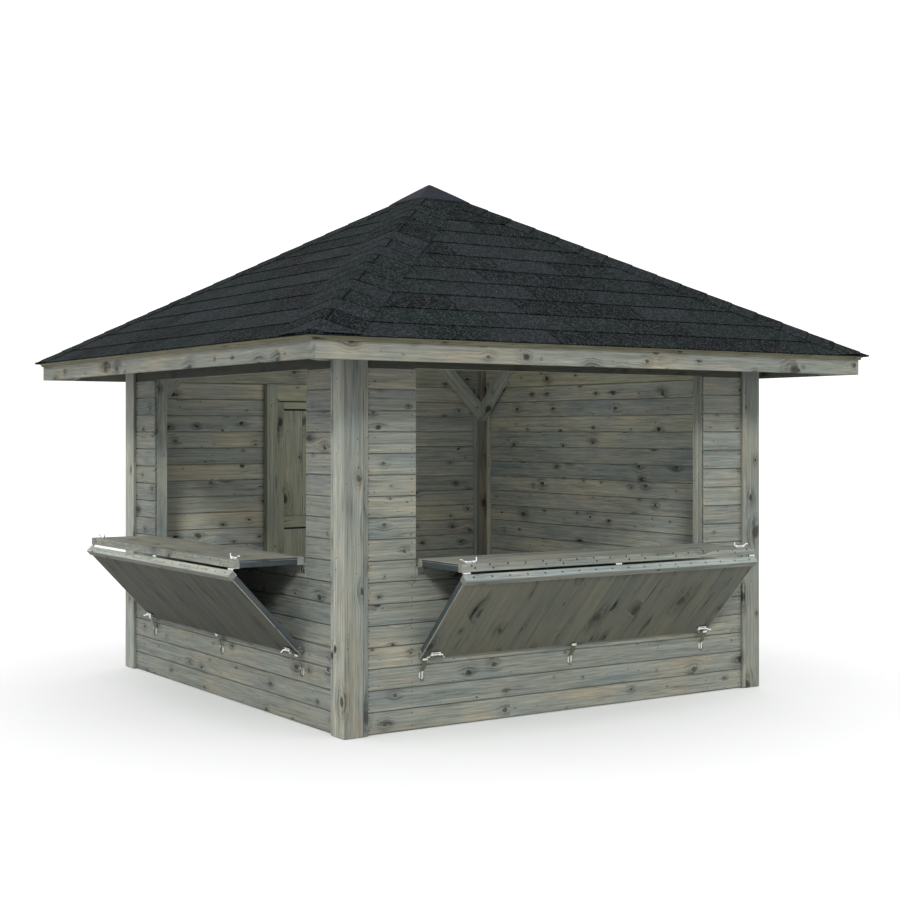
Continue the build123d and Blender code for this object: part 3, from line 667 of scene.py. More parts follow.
        tone = (streaks - 0.5) * (knots.shade * 1.5 + self.streak_weight * self.contrast)
        tone = tone + (bands - 0.5) * self.band_weight + (fibres - 0.5) * (self.fibre_weight * self.contrast)
        tone = tone + (own - 0.5) * self.own_weight + knots.ring * 0.10 - knots.shade * 0.34
        tone = tone - sheet.rise(stain, 0.56, 0.76) * self.stain
        tone = (tone + self.mean_tone) * self.light
        # painted light: faces that point to -X are made lighter, standing in for the sun on them
        if self.bleach:
            painted_sunlight_mask = sheet.rise(sheet.place().parts()[0], -HUT.half + 0.0015, -HUT.half + 0.0004)
            tone = tone * (painted_sunlight_mask * self.bleach + 1.0)
        # painted light: faces inside the wall boards' backs are lifted, standing in for light inside the hut
        if self.inner_light != 1.0:
            inside = 1.0 - sheet.rise(depth, HUT.back + 0.003, HUT.back + 0.006)
            tone = tone * (inside * (self.inner_light - 1.0) + 1.0)
        colour = sheet.blend(1.0, colour, sheet.join(tone, tone, tone), "MULTIPLY")
        colour = sheet.blend(knots.heart * knots.darkness, colour, self.dark)
        colour = sheet.blend(self.specks(along, side) * 0.8, colour, self.dark)
        sheet.relief(streaks + fibres * 0.5 - knots.heart * 0.6, 0.0012, 0.6)
        return sheet.finish(colour, streaks * 0.25 + 0.62, gloss=0.25)

    def specks(self, along: Value, side: Value) -> Value:
        """Scatters small dark specks, most of them too small to see: their size is a fifth power of chance.

        Args:
            along: place along the grain.
            side: place across it.

        Returns:
            1 in a speck and 0 elsewhere.
        """
        sheet = side.sheet
        distance, lot, _ = sheet.cells(sheet.join(along * 0.8, side, 0.0), 15.0)
        size = lot.parts()[0] ** 5.0 * 0.085
        return 1.0 - sheet.rise(distance, size * 0.6, size)


@dataclass(frozen=True)
class GranuleShingle:
    """Bitumen shingle faced with mineral granules, each tab in a shade of its own."""

    name: str = "granule_shingle"
    slate: Colour = (0.0106, 0.0124, 0.0142)
    green: Colour = (0.0050, 0.0096, 0.0082)
    night: Colour = (0.0026, 0.0033, 0.0040)
    pale: Colour = (0.047, 0.053, 0.056)
    # dark colour of painted shade: lines where tabs run under the next edge, and the slot bottoms
    seam: Colour = (0.0016, 0.0018, 0.0020)
    clump_scale: float = 128.0
    # climb ranges where shade is painted: under the next tab's edge, and in the slots
    tab_edge: tuple[float, float] = (0.00566, 0.00582)
    slot_bottom: tuple[float, float] = (-0.001, -0.004)

    def material(self) -> bpy.types.Material:
        """Builds the finish.

        Wide noise and a little chance of each tab's own choose between slate, green and nearly black. Small
        cells stand for clumps of granules: each has a random brightness, and a power of about three leaves
        only few pale ones. The third number of the place rises up a tab; a dark line of painted shade lies
        where it ends under the next tab's edge, and the slots between the tabs, where it is below zero, are
        painted dark as shade too.

        Returns:
            The material.
        """
        sheet = Sheet(self.name)
        place, seed = sheet.attribute("grain", "Vector"), sheet.attribute("seed", "Fac")
        lot, other = (sheet.chance(seed) - 0.5) * 0.46, (sheet.chance(seed + 0.61) - 0.5) * 0.56
        wide = sheet.noise(place, 1.3, 3.0, 0.6)
        dusk = sheet.noise(sheet.moved(place, (3.0, 7.0, 1.0)), 2.1, 3.0, 0.6)
        colour = sheet.blend(sheet.rise(wide + lot, 0.40, 0.58), self.green, self.slate)
        colour = sheet.blend(sheet.rise(dusk + other, 0.50, 0.72), colour, self.night)
        _, clump, _ = sheet.cells(place, self.clump_scale)
        colour = sheet.blend(clump.parts()[0] ** 3.2 * (dusk * 0.55 + 0.50), colour, self.pale)
        climb = place.parts()[2]
        # painted shade: a dark line where a tab runs under the next one's edge, and dark slot bottoms
        dirt_and_painted_shade = sheet.rise(climb, *self.tab_edge) + sheet.rise(climb, *self.slot_bottom)
        colour = sheet.blend(sheet.math("MINIMUM", dirt_and_painted_shade, 1.0), colour, self.seam)
        sheet.relief(sheet.noise(place, 120.0, 3.0, 0.75), 0.003, 0.6)
        return sheet.finish(colour, 0.95, gloss=0.03)


@dataclass(frozen=True)
class SmoothFelt:
    """The smooth dark cap at the top of the roof, with faint weathering."""

    name: str = "smooth_cap"
    shade: Colour = (0.0085, 0.0102, 0.0150)
    bloom: Colour = (0.0135, 0.0155, 0.0220)

    def material(self) -> bpy.types.Material:
        """Builds the finish: two shades of blue-grey mixed by wide noise, and a little fine relief.

        Returns:
            The material.
        """
        sheet = Sheet(self.name)
        place = sheet.place()
        cloud = sheet.noise(place, 9.0, 4.0, 0.6)
        colour = sheet.blend(sheet.rise(cloud, 0.35, 0.7), self.shade, self.bloom)
        sheet.relief(sheet.noise(place, 260.0, 2.0), 0.0004, 0.4)
        return sheet.finish(colour, cloud * 0.2 + 0.6, gloss=0.07)


@dataclass(frozen=True)
class ZincCoating:
    """Hot-dip zinc on small steel fittings: bright, with mottled spangles."""

    name: str = "zinc_coating"
    light: float = 0.82
    tint: Colour = (1.0, 1.0, 1.0)
    dull: Colour = (0.36, 0.37, 0.36)

    def material(self) -> bpy.types.Material:
        """Builds the finish: small cells of slightly different brightness and a mottled roughness.

        Returns:
            The material.
        """
        sheet = Sheet(self.name)
        place = sheet.place()
        value = sheet.cells(place, 170.0, "3D")[1].parts()[0]
        dirt_and_painted_shade = sheet.noise(place, 60.0, 3.0, 0.6)
        low, high = (tuple(self.light * share * part for part in self.tint) for share in (0.86, 1.0))
        bright = sheet.blend(value, low, high)
        colour = sheet.blend(sheet.rise(dirt_and_painted_shade, 0.52, 0.75) * 0.4, bright, self.dull)
        sheet.relief(dirt_and_painted_shade, 0.0003, 0.4)
        return sheet.finish(colour, value * 0.16 + 0.26, metal=1.0)


class Finishes:
    """Every finish of the hut, made once."""

    def __init__(self) -> None:
        """Makes all the materials."""

        def timber(name: str, **changes: object) -> bpy.types.Material:
            """One kind of weathered timber, with its changes from the plain one."""
            return WeatheredTimber(name, **changes).material()

        olive = {"warm": (0.20, 0.185, 0.11), "grey": (0.165, 0.16, 0.10), "cool": (0.14, 0.14, 0.09)}
        mossy = {"warm": (0.190, 0.176, 0.124), "grey": (0.152, 0.157, 0.120), "cool": (0.128, 0.142, 0.118)}
        steely = {"warm": (0.064, 0.072, 0.071), "grey": (0.051, 0.063, 0.066), "cool": (0.040, 0.054, 0.060)}
        big_knots = {"knot_spread": 5.0, "knot_size": 0.26}
        # the walls' inner faces are lifted by painted light, for the inside of the hut
        self.wall = timber("wall_timber", inner_light=1.85, light=0.98, knot_spread=7.2)
        # the posts' faces that point to -X are painted lighter, standing in for the sun on them
        self.post = timber("post_timber", light=0.92, knot_spread=4.5, bleach=0.58)
        # painted light: the inner frame is made much lighter, and the opening studs a little lighter,
        # standing in for light inside the hut
        self.inner = timber("inner_frame_timber", light=1.85, knot_spread=4.5)
        self.stud = timber("stud_timber", light=1.25, knot_spread=4.5)
        # painted shade: the beams are made very dark as shade under the eave, and their inner faces are
        # lifted back by painted light
        self.beam = timber("beam_timber", light=0.23, inner_light=7.6, **mossy)
        # the door's inner faces are lifted by painted light, for the inside of the hut
        self.door = timber(
            "door_leaf_timber", inner_light=1.95, light=0.98, knot_spread=4.5, contrast=0.7, **mossy
        )
        self.rebate = timber("shaded_rebate_timber", light=0.14)
        self.counter = timber("counter_timber", warmth=0.06, light=1.05, knot_spread=5.0)
        # painted shade: both prop leaves are made much darker than the walls, as shade on their down-turned
        # faces
        self.prop = timber("prop_timber", light=0.53, stain=0.80, contrast=0.5, **big_knots, **mossy)
        self.cool_prop = timber(
            "cool_prop_timber", light=0.32, warmth=-0.05, knot_spread=5.0, stain=0.6, contrast=0.6, **mossy
        )
        self.rail = timber("leaf_rail_timber", light=0.80)
        # pale timber of the leaves' closing laths; the thin lines of it along the leaf ends are painted
        # highlights on their edges
        self.edge = timber("leaf_edge_timber", warmth=-0.10, light=1.62)
        self.lath = timber("leaf_lath_timber", light=0.72, **steely)
        many_knots = {"knot_spread": 6.4, "knot_size": 0.24, "knot_share": 0.96}
        self.fascia = timber("fascia_timber", warmth=0.07, light=0.95, contrast=0.9, **many_knots)
        self.olive = timber("roof_board_timber", light=0.80, **olive)
        self.rafter = timber("rafter_timber", carried=True, light=1.2)
        self.shingle = GranuleShingle().material()
        self.cap = SmoothFelt().material()
        self.zinc = ZincCoating().material()
        # painted shade: the hasp straps' zinc is made dark with an olive tint, standing in for shade and a
        # reflection of the timber
        self.dull = ZincCoating("dull_zinc_coating", light=0.15, tint=(0.95, 1.0, 0.62)).material()
        self.nail = ZincCoating("nail_steel", light=0.04).material()


@dataclass
class Walls:
    """The boarded walls: rows of boards with a v-joint between them, seen from both sides."""

    finishes: Finishes
    joint_chamfer: float = 0.0030
    joint_gap: float = 0.0054
    tongue_inset: tuple[float, float] = (0.007, 0.010)
    tongue_chamfer: float = 0.001
    nail_radius: float = 0.0038
    nail_inset: float = 0.024
    nail_from_post: float = 0.045
    nail_from_opening: float = 0.030

    def rows(self, stack: MeshStack, side: Side, run: Span, lines: np.ndarray, first: int) -> None:
        """Adds rows of boards over one stretch of a wall, and the tongues behind their joints as one board.

        Args:
            stack: where the boards go.
            side: the wall.
            run: start and end of the stretch along the wall.
            lines: low and high edge of each row.
            first: number of the first row, which sets the seeds, so a board cut by an opening matches.
        """
        run = (run[0] + HAIR, run[1] - HAIR)
        height = (lines[:, 0] + self.joint_gap / 2, lines[:, 1] - self.joint_gap / 2)
        seeds = np.arange(first, first + len(lines)) * 0.173 + side.value * 0.0137 + 0.05
        stack.planks(side.level(), run, height, (HUT.back, HUT.face), seeds, self.joint_chamfer)
        depth = (HUT.back + self.tongue_inset[0], HUT.face - self.tongue_inset[1])
        stack.planks(side.level(), run, (lines[0, 0], lines[-1, 1]), depth, 1.7, self.tongue_chamfer)

    def nails(self, stack: MeshStack, side: Side, runs: list[float], lines: np.ndarray) -> None:
        """Adds two nails in every row of boards at each of some places along the wall."""
        heights = np.concatenate([lines[:, 0] + self.nail_inset, lines[:, 1] - self.nail_inset])
        grid_run, grid_height = np.meshgrid(runs, heights)
        centres = side.world(grid_run.ravel(), HUT.face, grid_height.ravel())
        stack.studs(centres, side.out, self.nail_radius, HAIR)

    def build(self) -> None:
        """Builds all four walls and their nails."""
        lines = HUT.row_lines()
        inner, opening, frame = HUT.post_inner, HUT.opening_half, HUT.door_frame_half
        under = lines[lines[:, 0] < HUT.sill].copy()
        under[-1, 1] = min(under[-1, 1], HUT.sill)
        full = int(np.sum(lines[:, 1] <= HUT.sill))
        for side in (Side.FRONT, Side.LEFT):
            stack = MeshStack()
            self.rows(stack, side, (-inner, inner), lines[:full], 0)
            self.rows(stack, side, (-inner, -opening), lines[full:], full)
            self.rows(stack, side, (opening, inner), lines[full:], full)
            self.rows(stack, side, (-opening, opening), under[full:], full)
            nodes = (f"{side.label}_wall_margins", f"{side.label}_wall_below_opening")
            stack.build(f"{side.label}_wall_boards", self.finishes.wall, "wall_board", nodes)
        for side, runs in (
            (Side.BACK, ((-inner, -frame), (frame, inner))),
            (Side.RIGHT, ((-inner, inner),)),
        ):
            stack = MeshStack()
            for run in runs:
                self.rows(stack, side, run, lines, 0)
            name = f"{side.label}_wall"
            stack.build(f"{name}_boards", self.finishes.wall, "wall_board", (name,))
        nails = MeshStack()
        edge = inner - self.nail_from_post
        for side, half in ((Side.FRONT, opening), (Side.LEFT, opening), (Side.BACK, frame)):
            near = half + self.nail_from_opening
            self.nails(nails, side, [-edge, -near, near, edge], lines)
        self.nails(nails, Side.RIGHT, [-edge, edge], lines)
        nails.build("wall_nails", self.finishes.nail, "galvanised_steel")


@dataclass
class Carcass:
    """Posts, battens, beams, knee braces, and the studs and sill rails of the openings."""

    finishes: Finishes
    batten: float = 0.027
    inner_batten_depth: float = 0.031
    stud_width: float = 0.060
    stud_depth: float = 0.068
    stop_step: float = 0.012
    stop_line: float = 0.050
    sill_rail: float = 0.060
    brace_width: float = 0.112
    brace_foot: float = 1.796
    brace_head: float = 2.250
    post_chamfer: float = 0.0040
    beam_chamfer: float = 0.0030
    batten_chamfer: float = 0.0022
    stud_chamfer: float = 0.0015

    def posts(self) -> None:
        """Builds the four corner posts."""
        stack = MeshStack()
        across, depth = (-HUT.half, -HUT.post_inner), (HUT.post_inner, HUT.half)
        for number, side in enumerate(Side):
            seed = 3.1 + number * 0.71
            stack.planks(side.upright(), (0.0, HUT.beam_top), across, depth, seed, self.post_chamfer)
        stack.build("corner_post_timbers", self.finishes.post, "frame_timber", ("corner_posts",))

    def battens(self) -> None:
        """Builds the battens that hold the wall boards beside the posts, outside and inside."""
        outside, inside = MeshStack(), MeshStack()
        across = (HUT.post_inner - self.batten, HUT.post_inner)
        inner_depth = (HUT.back - self.inner_batten_depth, HUT.back)
        for side in Side:
            seed = 5.0 + side.value * 0.011
            for stack, top, depth, own in (
                (outside, HUT.beam_top, (HUT.face, HUT.half), seed),
                (inside, HUT.beam_low, inner_depth, seed + 0.4),
            ):
                along = (HUT.ground_gap, top)
                stack.pair(side.upright(), along, across, depth, (own, 0.23), self.batten_chamfer)
        outside.build("outer_batten_strips", self.finishes.post, "frame_timber", ("outer_battens",))
        inside.build("inner_batten_strips", self.finishes.inner, "frame_timber", ("inner_battens",))

    def beams(self) -> None:
        """Builds the beams over the walls."""
        stack = MeshStack()
        run, height = (-HUT.post_inner, HUT.post_inner), (HUT.beam_low, HUT.beam_top)
        depth = (HUT.face - HUT.beam_depth, HUT.face)
        for side in Side:
            stack.planks(side.level(), run, height, depth, 7.0 + side.value * 0.013, self.beam_chamfer)
        stack.build("beam_timbers", self.finishes.beam, "frame_timber", ("beams",))

    def braces(self) -> None:
        """Builds the knee braces, sawn upright at the post and level at the top.

        The grain runs up at 45 degrees from the post towards the middle. Along it an end that is upright has
        a slope of 1 across the brace, and a level one a slope of -1.
        """
        stack = MeshStack()
        along = (0.0, (self.brace_head - self.brace_foot) * math.sqrt(2))
        depth = (HUT.post_inner, HUT.face - HUT.beam_depth)
        for side in Side:
            for hand in (-1, 1):
                inward = -hand * side.run
                foot = self.brace_foot * UP - HUT.post_inner * inward
                axes = Axes(foot, (inward + UP) / math.sqrt(2), (UP - inward) / math.sqrt(2), side.out)
                seed = 9.0 + side.value * 0.007 + hand * 0.31
                lean = (1.0, 0.0, -1.0, 0.0)
                stack.planks(axes, along, (0.0, self.brace_width), depth, seed, self.beam_chamfer, lean)
        stack.build("knee_brace_timbers", self.finishes.inner, "frame_timber", ("knee_braces",))

    def opening_frames(self) -> None:
        """Builds each opening's studs, with the step that the closed leaves stop against, and sill rail."""
        inner_face = HUT.back - self.stud_depth
        opening, step = HUT.opening_half, HUT.opening_half - self.stop_step
        stud = ((opening, opening + self.stud_width), HUT.back)
        stop = ((step, opening), HUT.face - self.stop_line)
        height, sill = (HUT.ground_gap, HUT.beam_low), (HUT.sill - self.sill_rail, HUT.sill)
        studs, rails = MeshStack(), MeshStack()
        for side in (Side.FRONT, Side.LEFT):
            for across, face in (stud, stop):
                seeds = (11.0 + side.value * 0.009, 0.19)
                studs.pair(side.upright(), height, across, (inner_face, face), seeds, self.stud_chamfer)
            seed = 12.0 + side.value * 0.01
            rails.planks(side.level(), (-step, step), sill, (inner_face, HUT.back), seed, self.stud_chamfer)
        studs.build("opening_stud_timbers", self.finishes.stud, "wall_board", ("opening_studs",))
        rails.build("sill_timbers", self.finishes.inner, "wall_board", ("sill_rails",))

    def build(self) -> None:
        """Builds the whole carcass."""
        self.posts()
        self.battens()
        self.beams()
        self.braces()
        self.opening_frames()


@dataclass
class Hatch:
    """A serving hatch folded out: a counter leaf and the leaf that props it against the wall."""

    finishes: Finishes
    side: Side
    hinge_radius: float = 0.006
    hinge_line: float = 1.584
    hinge_height: float = 0.930
    reach: float = 0.458
    prop_length: float = 0.675
    fold: float = math.radians(133.3508)
    half: float = 1.107
    thickness: float = 0.045
    end_gap: float = 0.003
    rail: float = 0.042
    lath_width: float = 0.030
    lath_depth: float = 0.032
    strip: float = 0.004
    closing: float = 0.007
    line: float = 0.0019
    recess: float = 0.0085
    boards: int = 18
    counter_boards: int = 3

    def leaf_axes(self, reach: float, fold: float, along_leaf: bool) -> Axes:
        """Axes of a leaf at one of its hinges.

        Args:
            reach: how far the hinge is from the wall's own hinge line.
            fold: how far the leaf is turned down from level, in radians.
            along_leaf: whether the grain runs away from the hinge, and not along the wall.

        Returns:
            Axes whose depth runs from the leaf's outer face to its inner one.
        """
        out, run = self.side.out, self.side.run
        away = out * math.cos(fold) - UP * math.sin(fold)
        depth = UP * math.cos(fold) + out * math.sin(fold)
        origin = out * (self.hinge_line + reach) + UP * self.hinge_height
        return Axes(origin, away, run, depth) if along_leaf else Axes(origin, run, away, depth)

    def leaf(self, reach: float, fold: float, end: float, upright: bool, seed: float) -> dict[str, MeshStack]:
        """Builds one framed leaf: rails at the hinge and the far edge, laths at the ends, boards over them.

        The laths show a dark strip at each end of the leaf, between two thin pale lines that are painted
        highlights on its edges. The boards of an upright leaf cover its far rail and lie a little below its
        hinge rail, which a pale lath closes.

        Args:
            reach: how far its hinge is from the wall's hinge line.
            fold: how far it is turned down, in radians.
            end: its length from the hinge.
            upright: whether its boards run away from the hinge.
            seed: start of the seeds.

        Returns:
            The boards, the rails, the laths and the pale strips, by the ends of their pieces' names.
        """
        stacks = {name: MeshStack() for name in ("boards", "rails", "end_laths", "edge_strips")}
        boards, rails, laths, strips = stacks.values()
        along, across = self.leaf_axes(reach, fold, True), self.leaf_axes(reach, fold, False)
        low, high = self.hinge_radius, self.hinge_radius + self.thickness
        seam, half, line = low + self.lath_depth, self.half, self.line
        inner, outer = self.end_gap + self.rail, end - self.rail
        width, covered = (-half, half), (-half + self.strip, half - self.strip)
        if upright:
            axes, length, edges = along, (inner, end - HAIR), np.linspace(*covered, self.boards + 1)
            face, far_face = high - self.recess, seam - 0.0004
            first, last = self.end_gap + self.closing, end - HAIR
            strips.planks(across, width, (self.end_gap, first), (low, high), seed + 6.7, 0.0008)
        else:
            axes, length, edges = across, covered, np.linspace(inner, outer, self.counter_boards + 1)
            face, far_face = high - HAIR, high
            first, last = self.end_gap, outer
        widths, seeds = (edges[:-1] + HAIR / 2, edges[1:] - HAIR / 2), seed + 0.29 * np.arange(len(edges) - 1)
        boards.planks(axes, length, widths, (seam, face), seeds, 0.0010)
        rails.planks(across, width, (first, inner), (low, high), seed + 5.3, 0.0018)
        rails.planks(across, width, (outer, end), (low, far_face), seed + 5.9, 0.0018)
        lath = (half - self.lath_width, half)
        laths.pair(along, (inner, outer), lath, (low, seam - HAIR), (seed + 6.1, 0.4), 0.0016)
        # the two thin pale strips at each end are painted highlights on the edges
        for stack, depth, own, chamfer in (
            (laths, (seam + line, face - line), 7.1, 0.0006),
            (strips, (seam, seam + line), 7.7, 0.0004),
            (strips, (face - line, face), 7.7, 0.0004),
        ):
            stack.pair(along, (inner, last), (half - self.strip, half), depth, (seed + own, 0.4), chamfer)
        return stacks

    def board_middles(self) -> tuple[np.ndarray, float]:
        """The middle of each upright board along the wall, and their pitch."""
        pitch = 2 * self.half / self.boards
        return -self.half + pitch * (np.arange(self.boards) + 0.5), pitch

    def prop_nails(self) -> MeshStack:
        """The nail heads along the prop leaf's closing lath, one for each board."""
        stack = MeshStack()
        axes = self.leaf_axes(self.reach, self.fold, False)
        runs, _ = self.board_middles()
        middle = np.full_like(runs, self.hinge_radius + self.thickness / 2)
        local = np.stack([runs, np.full_like(runs, self.end_gap), middle], axis=1)
        stack.studs(axes.points(local), -axes.across, 0.0066, HAIR)
        return stack

    def counter_nails(self) -> MeshStack:
        """The nail heads along the counter's outer edge, one for each board and some more lower down.

        Their heights are shares of the leaf's thickness, each with a little chance.
        """
        stack = MeshStack()
        axes = self.leaf_axes(0.0, 0.0, False)
        runs, pitch = self.board_middles()
        rng = np.random.default_rng(3)
        lower = runs[rng.random(len(runs)) < 0.45] + rng.uniform(-0.5, 0.5, len(runs))[0] * pitch
        runs = np.concatenate([runs, lower])
        heights = np.where(np.arange(len(runs)) < self.boards, 0.80, 0.42)
        heights = heights + rng.uniform(-0.05, 0.05, len(runs))
        edge = np.full_like(runs, self.reach - self.end_gap)
        local = np.stack([runs, edge, self.hinge_radius + self.thickness * heights], axis=1)
        stack.studs(axes.points(local), axes.across, 0.0062, 0.0007)
        return stack

    def leaf_pieces(
        self,
        stacks: dict[str, MeshStack],
        body: str,
        node: str,
        boards: bpy.types.Material,
        rails: bpy.types.Material,
    ) -> None:
        """Makes the objects of one leaf.

        Args:
            stacks: the leaf's boards, rails and laths.
            body: the body that they move with.
            node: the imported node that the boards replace.
            boards: finish of the boards.
            rails: finish of the rails.
        """
        materials = (boards, rails, self.finishes.lath, self.finishes.edge)
        for (name, stack), material in zip(stacks.items(), materials):
            stack.build(f"{body}_{name}", material, "hatch_timber", (node,) if name == "boards" else (), body)

    def build(self) -> None:
        """Builds the counter and the prop leaf."""
        finishes = self.finishes
        counter, prop = f"{self.side.label}_counter", f"{self.side.label}_prop"
        seed = 20.0 + self.side.value * 0.05
        stacks = self.leaf(0.0, 0.0, self.reach - self.end_gap, False, seed)
        self.leaf_pieces(stacks, counter, counter, finishes.counter, finishes.counter)
        self.counter_nails().build(f"{counter}_nails", finishes.nail, "galvanised_steel", body=counter)
        stacks = self.leaf(self.reach, self.fold, self.prop_length, True, seed + 30)
        boards = finishes.prop if self.side is Side.FRONT else finishes.cool_prop
        self.leaf_pieces(stacks, prop, f"{prop}_leaf", boards, finishes.rail)
        self.prop_nails().build(f"{prop}_nails", finishes.nail, "galvanised_steel", body=prop)


@dataclass
class Door:
    """The framed door in the back wall, with grooved panels, and its frame."""

    finishes: Finishes
    frame_width: float = 0.085
    face: float = 1.590
    frame_depth: float = 0.090
    stop_depth: float = 0.040
    stop_step: float = 0.012
    head_low: float = 1.955
    half: float = 0.408
    thickness: float = 0.045
    low: float = 0.015
    high: float = 1.948
    stile: float = 0.075
    top_rail: float = 0.065
    mid_rail: tuple[float, float] = (0.967, 1.055)
    bottom_rail: float = 0.140
    panel_depth: float = 0.021
    panel_boards: int = 8
    groove: float = 0.0032
    rebate: float = 0.014
    rebate_depth: float = 0.008
    seal: float = 0.009
    seal_depth: float = 0.006

    def frame(self) -> None:
        """Builds the jambs and the head, each with a stop, and a dark strip of painted shadow under the
        head's stop.
        """
        jambs, head, seal = MeshStack(), MeshStack(), MeshStack()
        upright, level = Side.BACK.upright(), Side.BACK.level()
        board = (self.face - self.frame_depth, self.face)
        stop = (board[0], board[0] + self.stop_depth)
        opening = HUT.door_frame_half - self.frame_width
        half, low = opening - self.stop_step, self.head_low - self.stop_step
        jambs.pair(upright, (0.0, HUT.beam_low), (opening, HUT.door_frame_half), board, (40.0, 0.3), 0.002)
        jambs.pair(upright, (0.0, low), (half, opening), stop, (41.0, 0.3), 0.001)
        head.planks(level, (-opening, opening), (self.head_low, HUT.beam_low), board, 42.3, 0.002)
        head.planks(level, (-half, half), (low, self.head_low), stop, 42.6, 0.001)
        # painted shadow: a thin dark strip under the head's stop, where shade falls between head and door
        depth = (stop[1] - self.seal_depth, stop[1] - 0.0005)
        seal.planks(level, (-half, half), (low - self.seal, low + 0.001), depth, 42.9, 0.0006)
        seal.build("door_head_seal", self.finishes.rebate, "door_timber")
        jambs.build("door_jamb_timbers", self.finishes.door, "door_timber", ("door_jambs",))
        head.build("door_head_timber", self.finishes.door, "door_timber", ("door_head",))

    def leaf(self) -> None:
        """Builds the door: stiles, three rails, and upright grooved boards in two panels.

        A panel's boards end a little under the rail above them, and a thinner strip painted dark as shade
        closes that rebate.
        """
        timbers, rebates = MeshStack(), MeshStack()
        upright, level = Side.BACK.upright(), Side.BACK.level()
        depth, middle = (self.face - self.thickness, self.face), self.face - self.thickness / 2
        inner = self.half - self.stile
        timbers.pair(upright, (self.low, self.high), (inner, self.half), depth, (45.0, 0.3), 0.002)
        bottom, top = (self.low, self.low + self.bottom_rail), (self.high - self.top_rail, self.high)
        for number, height in enumerate((bottom, self.mid_rail, top)):
            timbers.planks(level, (-inner, inner), height, depth, 46.5 + number * 0.37, 0.002)
        edges = np.linspace(-inner, inner, self.panel_boards + 1)
        thicknesses = (self.panel_depth, self.rebate_depth)
        panel, strip = ((middle - part / 2, middle + part / 2) for part in thicknesses)
        for low, high in ((bottom[1], self.mid_rail[0]), (self.mid_rail[1], top[0])):
            along, seeds = (low, high - self.rebate), 48 + low + 0.31 * np.arange(self.panel_boards)
            timbers.planks(upright, along, (edges[:-1], edges[1:]), panel, seeds, self.groove)
            # painted shade: a thin dark strip in the rebate under each rail
            rebates.planks(level, (-inner, inner), (high - self.rebate - 0.002, high), strip, 49.7, 0.0006)
        timbers.build("door_timbers", self.finishes.door, "door_timber", ("door",), "door")
        rebates.build("door_rebate_strips", self.finishes.rebate, "door_timber", body="door")

    def build(self) -> None:
        """Builds the door and its frame."""
        self.frame()
        self.leaf()


